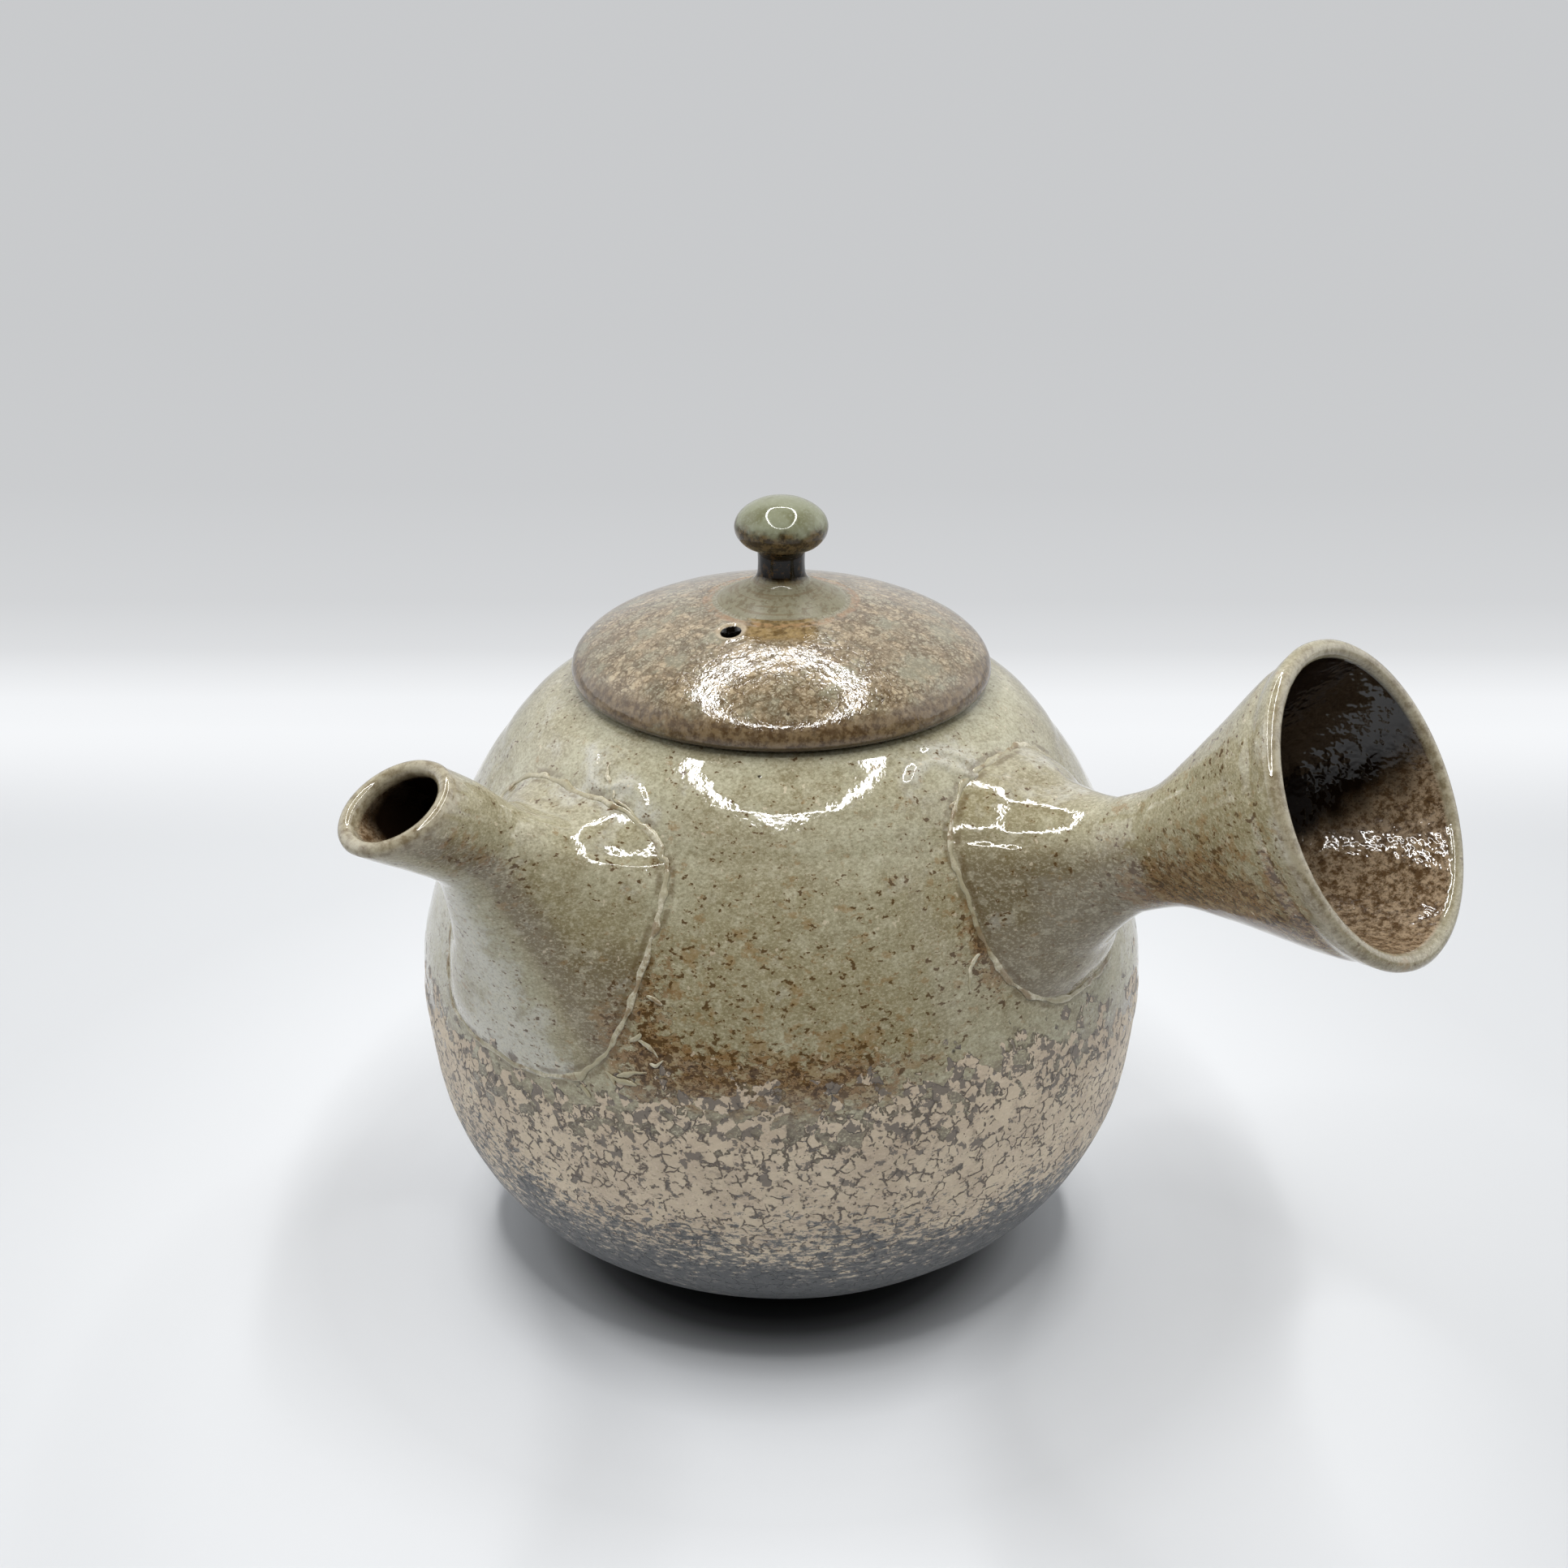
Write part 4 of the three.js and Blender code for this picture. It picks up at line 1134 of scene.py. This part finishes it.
LID_PLATES = {("tile", "gap"): (1.2, 1.1, 1.1), ("chip", "seam"): (0.75, 0.8, 0.7)}
LID_PATTERNS = {
    "specks": ("spots", 5.5, 0.42, 0.28),
    "grain": (0.42, 4.0, 0.75), "fleck": (1.0, 3.0, 0.65), "patch": (3.6, 4.0, 0.65),
    "here": (2.4, 3.0, 0.6), "show": (3.0, 3.0, 0.6), "blot": (0.9, 3.0, 0.7), "sage_cloud": (6.0, 4.0, 0.65),
    "wobble": (2.5, 2.0), "drip": (2.0, 3.0), "fine": (0.55, 1.0), "broad": (2.2, 1.0),
    "wide_cracks": [("gap", 0.13, 0.04)],
    "wide_net": {"wide_cracks": 0.7},
    "chip_cracks": [("seam", 0.14, 0.03), ("here", 0.40, 0.54)],
    "chip_net": {"chip_cracks": 0.9},
    "sage": [("sage_cloud", 0.55, 0.66)],
    "centre": {"radius": 1, "wobble": 2.4},
    "front": {"x": -math.cos(KNOB_REFLECTION_TURN), "y": -math.sin(KNOB_REFLECTION_TURN)},
    "side": {"x": math.sin(KNOB_REFLECTION_TURN), "y": -math.cos(KNOB_REFLECTION_TURN)},
    "low": {"z": 1, "drip": 1.6},
    "vent_x": {"x": 1, "base": VENT_REACH * math.cos(VENT_TURN)},
    "vent_y": {"y": 1, "base": VENT_REACH * math.sin(VENT_TURN)},
    "from_groove": {"radius": 1, "base": -RING_GROOVES[1][0]},
    "net": ("math", "MAXIMUM", "wide_net", "chip_net"),
    "net_share": ("between", "show", 0.36, 0.58, 0.35, 0.9),
    "shown_net": ["net", "net_share"],
    "aside": ("math", "ABSOLUTE", "side"),
    "across": {"aside": 1, "fleck": 2.0},
    "painted_knob_reflection": [("across", 6.2, 4.4), ("front", 6.2, 7.4), ("front", 12.6, 11.2)],
    "groove": ("math", "ABSOLUTE", "from_groove"),
    "rings": [("groove", 0.75, 0.35), ("fleck", 0.35, 0.6)],
    "beside_sage": ("between", "sage", 0, 1, 0.85, 0.4),
    "brown": [("low", 84.3, 82.9), "beside_sage"],
    "vent": ("length", "vent_x", "vent_y"),
    "height": {"net": -0.15, "fine": 0.6, "broad": 1.5},
    "shine": (1.0, 3.0, 0.6),
    "roughness": ("between", "shine", 0.35, 0.65, 0.04, 0.09),
}
LID_LOOK = {
    "ground": ("tile", (174, 158, 130), (120, 110, 88)),
    "layers": [
        ("chip", 0.4, (150, 128, 100)),
        ("patch", 0.46, 0.62, 0.6, (142, 140, 121)),
        ("grain", 0.50, 0.64, 0.5, (190, 178, 154)),
        ("grain", 0.48, 0.36, 0.6, (96, 78, 54)),
        ("shown_net", 1.0, (76, 58, 38)),
        ("blot", 0.55, 0.60, 0.7, (88, 70, 46)),
        ("sage", 0.55, ("grain", (118, 116, 95), (158, 156, 136))),
        ("centre", 10.6, 9.4, 0.85, (("grain", 0.4, 0.62), (118, 111, 86), (150, 146, 122))),
        # A painted reflection of the knob on the lid in front of it
        ("painted_knob_reflection", 0.8, (("fleck", 0.36, 0.6), (96, 74, 40), (152, 128, 86))),
        ("rings", 0.55, (158, 122, 88)),
        ("brown", 1.0, (("fleck", 0.4, 0.62), (76, 56, 34), (120, 100, 72))),
        ("z", 80.4, 79.9, 0.9, (62, 48, 34)),
        ("specks", 0.9, (38, 27, 15)),
        ("vent", VENT_RADIUS + 0.9, VENT_RADIUS + 0.4, 0.45, (196, 178, 150)),
        # Painted shade inside the vent hole
        ("vent", VENT_RADIUS + 0.12, VENT_RADIUS, 1.0, (14, 10, 6)),
    ],
}

KNOB_PATTERNS = {
    "grain": (0.42, 3.0, 0.7), "cloud": (3.0, 3.0), "sway": (2.2, 3.0, 0.6), "mottle": (1.0, 4.0, 0.7),
    "freckle": (1.1, 4.0, 0.7), "turned": (0.5, 2.0, 0.5, (0.08, 0.08, 2.4)), "shine": (1.2, 2.0),
    "broad": (3.0, 1.0), "fine": (0.6, 1.0),
    "swaying": {"sway": 1, "base": -0.5},
    "wobble": {"swaying": 4.0},
    "under_cap": {"z": 1, "wobble": 1},
    "over_skirt": {"z": 1, "wobble": 0.3},
    "neck": [("z", 96.2, 95.2), ("z", 91.5, 92.5)],
    "skirt": [("over_skirt", 92.2, 91.3)],
    "rough": [("z", 91.4, 90.9)],
    "gloss": ("between", "shine", 0.3, 0.7, 0.04, 0.08),
    "height": {"broad": 1, "fine": 0.1},
    "roughness": {"gloss": 1, "rough": 0.3},
}
SKIRT_LOOK = {
    "ground": ("grain", (118, 112, 88), (152, 148, 125)),
    "layers": [("freckle", 0.50, 0.60, 0.6, (100, 84, 58)), ("turned", 0.54, 0.62, 0.5, (112, 92, 64))],
}
KNOB_LOOK = {
    "ground": (("cloud", 0.4, 0.65), (127, 129, 106), (106, 106, 80)),
    "layers": [
        ("grain", 0.46, 0.7, 0.4, (148, 151, 133)),
        ("under_cap", 99.3, 97.9, 0.94, (("mottle", 0.42, 0.6), (48, 34, 16), (100, 82, 52))),
        # Painted shade on the neck under the cap, over brown glaze
        ("neck", 0.97, (("mottle", 0.5, 0.62), (9, 3, 0), (66, 46, 20))),
        ("skirt", 0.9, SKIRT_LOOK),
    ],
}

CLAY_PATTERNS = {
    "grain": (0.5, 4.0, 0.7), "cloud": (4.0, 3.0), "grit": (1.6, 3.0), "specks": ("spots", 3.0, 0.3, 0.3),
    "height": {"grain": 1, "grit": 0.7}, "roughness": ("between", "grain", 0.3, 0.7, 0.5, 0.68),
}
CLAY_LOOK = {
    "ground": (("cloud", 0.4, 0.65), (138, 112, 90), (112, 88, 68)),
    "layers": [("grain", 0.5, 0.3, 0.6, (76, 58, 44)), ("specks", 0.7, (52, 40, 30))],
}


def make_material(name, patterns, look, relief, ior=None, plates=None, marks=()):
    s = Shader(name, marks)
    for (value, gap), sizes in (plates or {}).items():
        s.patterns[value], s.patterns[gap] = s.plates(*sizes)
    s.learn(patterns)
    return s.finish(look, relief, ior)


pot = make_pot()
spout = make_spout()
handle = make_handle()
spout_seam = make_seam("spout_seam_slip", spout_seam_path, SPOUT_BRANCHES)
handle_seam = make_seam("handle_seam_slip", handle_seam_path, HANDLE_BRANCHES)
strainer = make_strainer()
lid_dome = make_lid_dome()
lid_flange = make_lid_flange()
lid_knob = make_knob()

# Celadon glaze that breaks into bare, crackled clay low on the pot, with painted shade in the hollows and
# under the handle, and painted sheen on the sides
glaze = make_material(
    "celadon_glaze", GLAZE_PATTERNS, GLAZE_LOOK, relief=0.09, ior=1.58,
    plates=GLAZE_PLATES, marks=GLAZE_MARKS,
)
# A pale run of slip, patched with the glaze's brown
slip = make_material("slip_ridge", SLIP_PATTERNS, SLIP_LOOK, relief=0.03)
# Beige and grey glaze with a brown crackle, green round the knob, brown at the edge, a painted reflection of
# the knob in front of it and painted shade in the vent
lid_glaze = make_material("lid_glaze", LID_PATTERNS, LID_LOOK, relief=0.045, ior=1.56, plates=LID_PLATES)
# Green glaze that runs thin and brown under the cap, with painted shade on the neck below it
knob_glaze = make_material("knob_glaze", KNOB_PATTERNS, KNOB_LOOK, relief=0.012, ior=1.38)
# Bare, iron-brown clay
clay = make_material("bare_clay", CLAY_PATTERNS, CLAY_LOOK, relief=0.06)

PIECES = [
    (pot, "pot", "pot_body", "glaze", glaze),
    (spout, "pot", "spout", "glaze", glaze),
    (handle, "pot", "handle", "glaze", glaze),
    (spout_seam, "pot", "spout_seam", "slip", slip),
    (handle_seam, "pot", "handle_seam", "slip", slip),
    (strainer, "pot", "strainer", "bare_clay", clay),
    (lid_flange, "lid_ring", "lid_flange", "bare_clay", clay),
    (lid_dome, "lid", "lid_dome", "lid_glaze", lid_glaze),
    (lid_knob, "lid", "lid_knob", "lid_glaze", knob_glaze),
]
for piece, body, node, slot, material in PIECES:
    piece.data.materials.clear()
    piece.data.materials.append(material)
    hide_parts(node)
    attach(piece, body)

# Stage, in metres
VIEW_TURN = math.radians(47)
AHEAD = np.array([math.cos(VIEW_TURN), math.sin(VIEW_TURN)])
ASIDE = np.array([AHEAD[1], -AHEAD[0]])
FLOOR_REACH = 4.0
LAMP_HEIGHT = 0.40
LAMP_SHIFT = -0.012
LAMP_SIZE = (0.235, 0.132)
LAMP_SQUARENESS = 2.3
LAMP_WIDTH = 0.018
LAMP_SIDES = 120
LAMP_GLOW = 30.0
PAPER_TINT = (0.98, 0.995, 1.015)
PAPER_SKIN = {"Roughness": 0.9, "Specular IOR Level": 0.1}
# Paper shade by distance from the pot's axis: a painted contact shadow under the pot and painted shade round
# it
PAPER_AND_PAINTED_SHADOW = [
    (0.021, 0.01), (0.024, 0.03), (0.027, 0.12), (0.030, 0.40), (0.033, 0.70), (0.037, 0.85), (0.045, 0.89),
    (0.055, 0.78), (0.062, 0.73), (0.075, 0.74), (0.085, 0.72), (0.100, 0.69), (0.120, 0.66),
]
SWEEP_START = 0.11
SWEEP = [
    (0.165, 0.935), (0.182, 0.91), (0.196, 0.83), (0.21, 0.74), (0.24, 0.665), (0.326, 0.61), (0.5, 0.595),
]
WALL_LIGHT = 0.34
PANEL_LIGHT = 1.2
MIRROR_WALL = 0.82
MIRROR_PANEL = 1.5
ROOM_TINT = (0.97, 0.985, 1.0, 1)
BACKGROUND = (0.585, 0.595, 0.61, 1)
ROOM_PATTERNS = {
    "opening": [("facing", 0.64, 0.74), ("up", 0.72, 0.62)],
    "panel": [("sideways", 0.62, 0.80), ("up", 0.80, 0.6)],
    "rear": [("facing", 0.45, 0.1)],
    "below_top": [("up", 0.9, 0.7)],
    "lit": {"panel": PANEL_LIGHT - WALL_LIGHT, "base": WALL_LIGHT},
    "mirrored": {"panel": MIRROR_PANEL - MIRROR_WALL, "base": MIRROR_WALL},
}
REAR_LIGHT = 0.4


def stage_mesh(name, points, faces, material):
    mesh = bpy.data.meshes.new(name)
    mesh.from_pydata([tuple(point) for point in points], [], faces)
    mesh.update()
    mesh.materials.append(material)
    piece = bpy.data.objects.new(name, mesh)
    bpy.context.scene.collection.objects.link(piece)
    return piece


def dot(nodes, place, direction):
    """How far a place lies along a direction of two or three numbers."""
    x, y, z = (*direction, 0)[:3]
    return nodes.node("VectorMath", [place, (x, y, z)], operation="DOT_PRODUCT").outputs["Value"]


def paper_ramp(nodes, value, stops):
    """Shades of paper at distances, painted shadow among them."""
    first, last = stops[0][0], stops[-1][0]
    span = nodes.between(value, first, last, 0.0, 1.0)
    ramp = nodes.node("ValToRGB", [span])
    elements = ramp.color_ramp.elements
    while len(elements) < len(stops):
        elements.new(0.5)
    for element, (reach, shade) in zip(elements, stops):
        element.position = (reach - first) / (last - first)
        element.color = (*(part * shade for part in PAPER_TINT), 1)
    return ramp.outputs[0]


def make_floor():
    """Pale paper with a painted contact shadow, which shows as a darker sweep behind the pot."""
    material = bpy.data.materials.new("paper")
    n = Nodes(material)
    place = n.node("TexCoord").outputs["Object"]
    ahead = dot(n, place, AHEAD)
    reach = n.node("VectorMath", [place], operation="LENGTH").outputs["Value"]
    skin = n.node("BsdfPrincipled", {"Base Color": paper_ramp(n, reach, PAPER_AND_PAINTED_SHADOW), **PAPER_SKIN})
    sweep = n.node("Emission", {"Color": paper_ramp(n, ahead, SWEEP)})
    rays = n.node("LightPath").outputs
    seen = rays["Is Camera Ray"]
    for other in ("Is Glossy Ray", "Is Transmission Ray"):
        seen = n.math("MAXIMUM", seen, rays[other])
    share = n.times(n.step(ahead, SWEEP_START, SWEEP[0][0]), seen)
    blend = n.node("MixShader", [share, skin.outputs[0], sweep.outputs[0]])
    n.node("OutputMaterial", {"Surface": blend.outputs[0]})
    corners = [(-1, -1), (-1, 1), (1, 1), (1, -1)]
    flat = [FLOOR_REACH * (AHEAD * ahead + ASIDE * aside) for ahead, aside in corners]
    stage_mesh("floor", [(x, y, 0) for x, y in flat], [(0, 1, 2, 3)], material)


def make_ring_lamp():
    """A rounded ring of light, flat above the pot."""
    turns = angles(LAMP_SIDES)
    points = []
    for width in (0.0, LAMP_WIDTH):
        ahead = (LAMP_SIZE[0] - width) * rounded(np.cos(turns), LAMP_SQUARENESS)
        aside = (LAMP_SIZE[1] - width) * rounded(np.sin(turns), LAMP_SQUARENESS)
        flat = np.outer(ahead + LAMP_SHIFT, AHEAD) + np.outer(aside, ASIDE)
        points += [(x, y, LAMP_HEIGHT) for x, y in flat]
    material = bpy.data.materials.new("ring_glow")
    n = Nodes(material)
    glow = n.node("Emission", {"Strength": LAMP_GLOW})
    n.node("OutputMaterial", {"Surface": glow.outputs[0]})
    ring = stage_mesh("ring_lamp", points, ring_faces(2, LAMP_SIDES, False), material)
    ring.visible_camera = False


def make_room():
    """White walls and ceiling round an open front, which the camera doesn't see."""
    world = bpy.data.worlds.new("room")
    bpy.context.scene.world = world
    n = Nodes(world)
    look = n.node("TexCoord").outputs["Generated"]
    front = dot(n, look, -AHEAD)
    aside = n.math("ABSOLUTE", dot(n, look, ASIDE))
    level = n.length(front, aside)
    n.patterns.update(
        facing=n.math("DIVIDE", front, level), sideways=n.math("DIVIDE", aside, level),
        up=dot(n, look, (0, 0, 1)),
    )
    n.learn(ROOM_PATTERNS)
    rays = n.node("LightPath").outputs
    dim = n.times(n.math("MAXIMUM", "rear", REAR_LIGHT), "below_top")
    gap = n.math("SUBTRACT", n.times("mirrored", dim), "lit")
    bright = n.add("lit", n.times(rays["Is Glossy Ray"], gap))
    shown = n.times(bright, n.math("SUBTRACT", 1.0, "opening"))
    inside = n.node("Background", {"Strength": shown, "Color": ROOM_TINT})
    outside = n.node("Background", {"Color": BACKGROUND})
    pick = n.node("MixShader", [rays["Is Camera Ray"], inside.outputs[0], outside.outputs[0]])
    n.node("OutputWorld", {"Surface": pick.outputs[0]})


make_floor()
make_ring_lamp()
make_room()

# Camera, in metres but for the lens and the sensor
CAMERA_LENS = 54.04
CAMERA_SENSOR = 36.0
CAMERA_CLIP = 0.01
CAMERA_PLACE = (-0.18328, -0.19704, 0.18760)
CAMERA_AIM = Vector((0.6197, 0.6646, -0.4175))
camera_data = bpy.data.cameras.new("camera")
camera = bpy.data.objects.new("camera", camera_data)
bpy.context.scene.collection.objects.link(camera)
camera_data.lens = CAMERA_LENS
camera_data.sensor_width = CAMERA_SENSOR
camera_data.clip_start = CAMERA_CLIP
camera.location = CAMERA_PLACE
camera.rotation_euler = CAMERA_AIM.to_track_quat("-Z", "Y").to_euler()
bpy.context.scene.camera = camera
bpy.context.scene.view_settings.view_transform = "Standard"
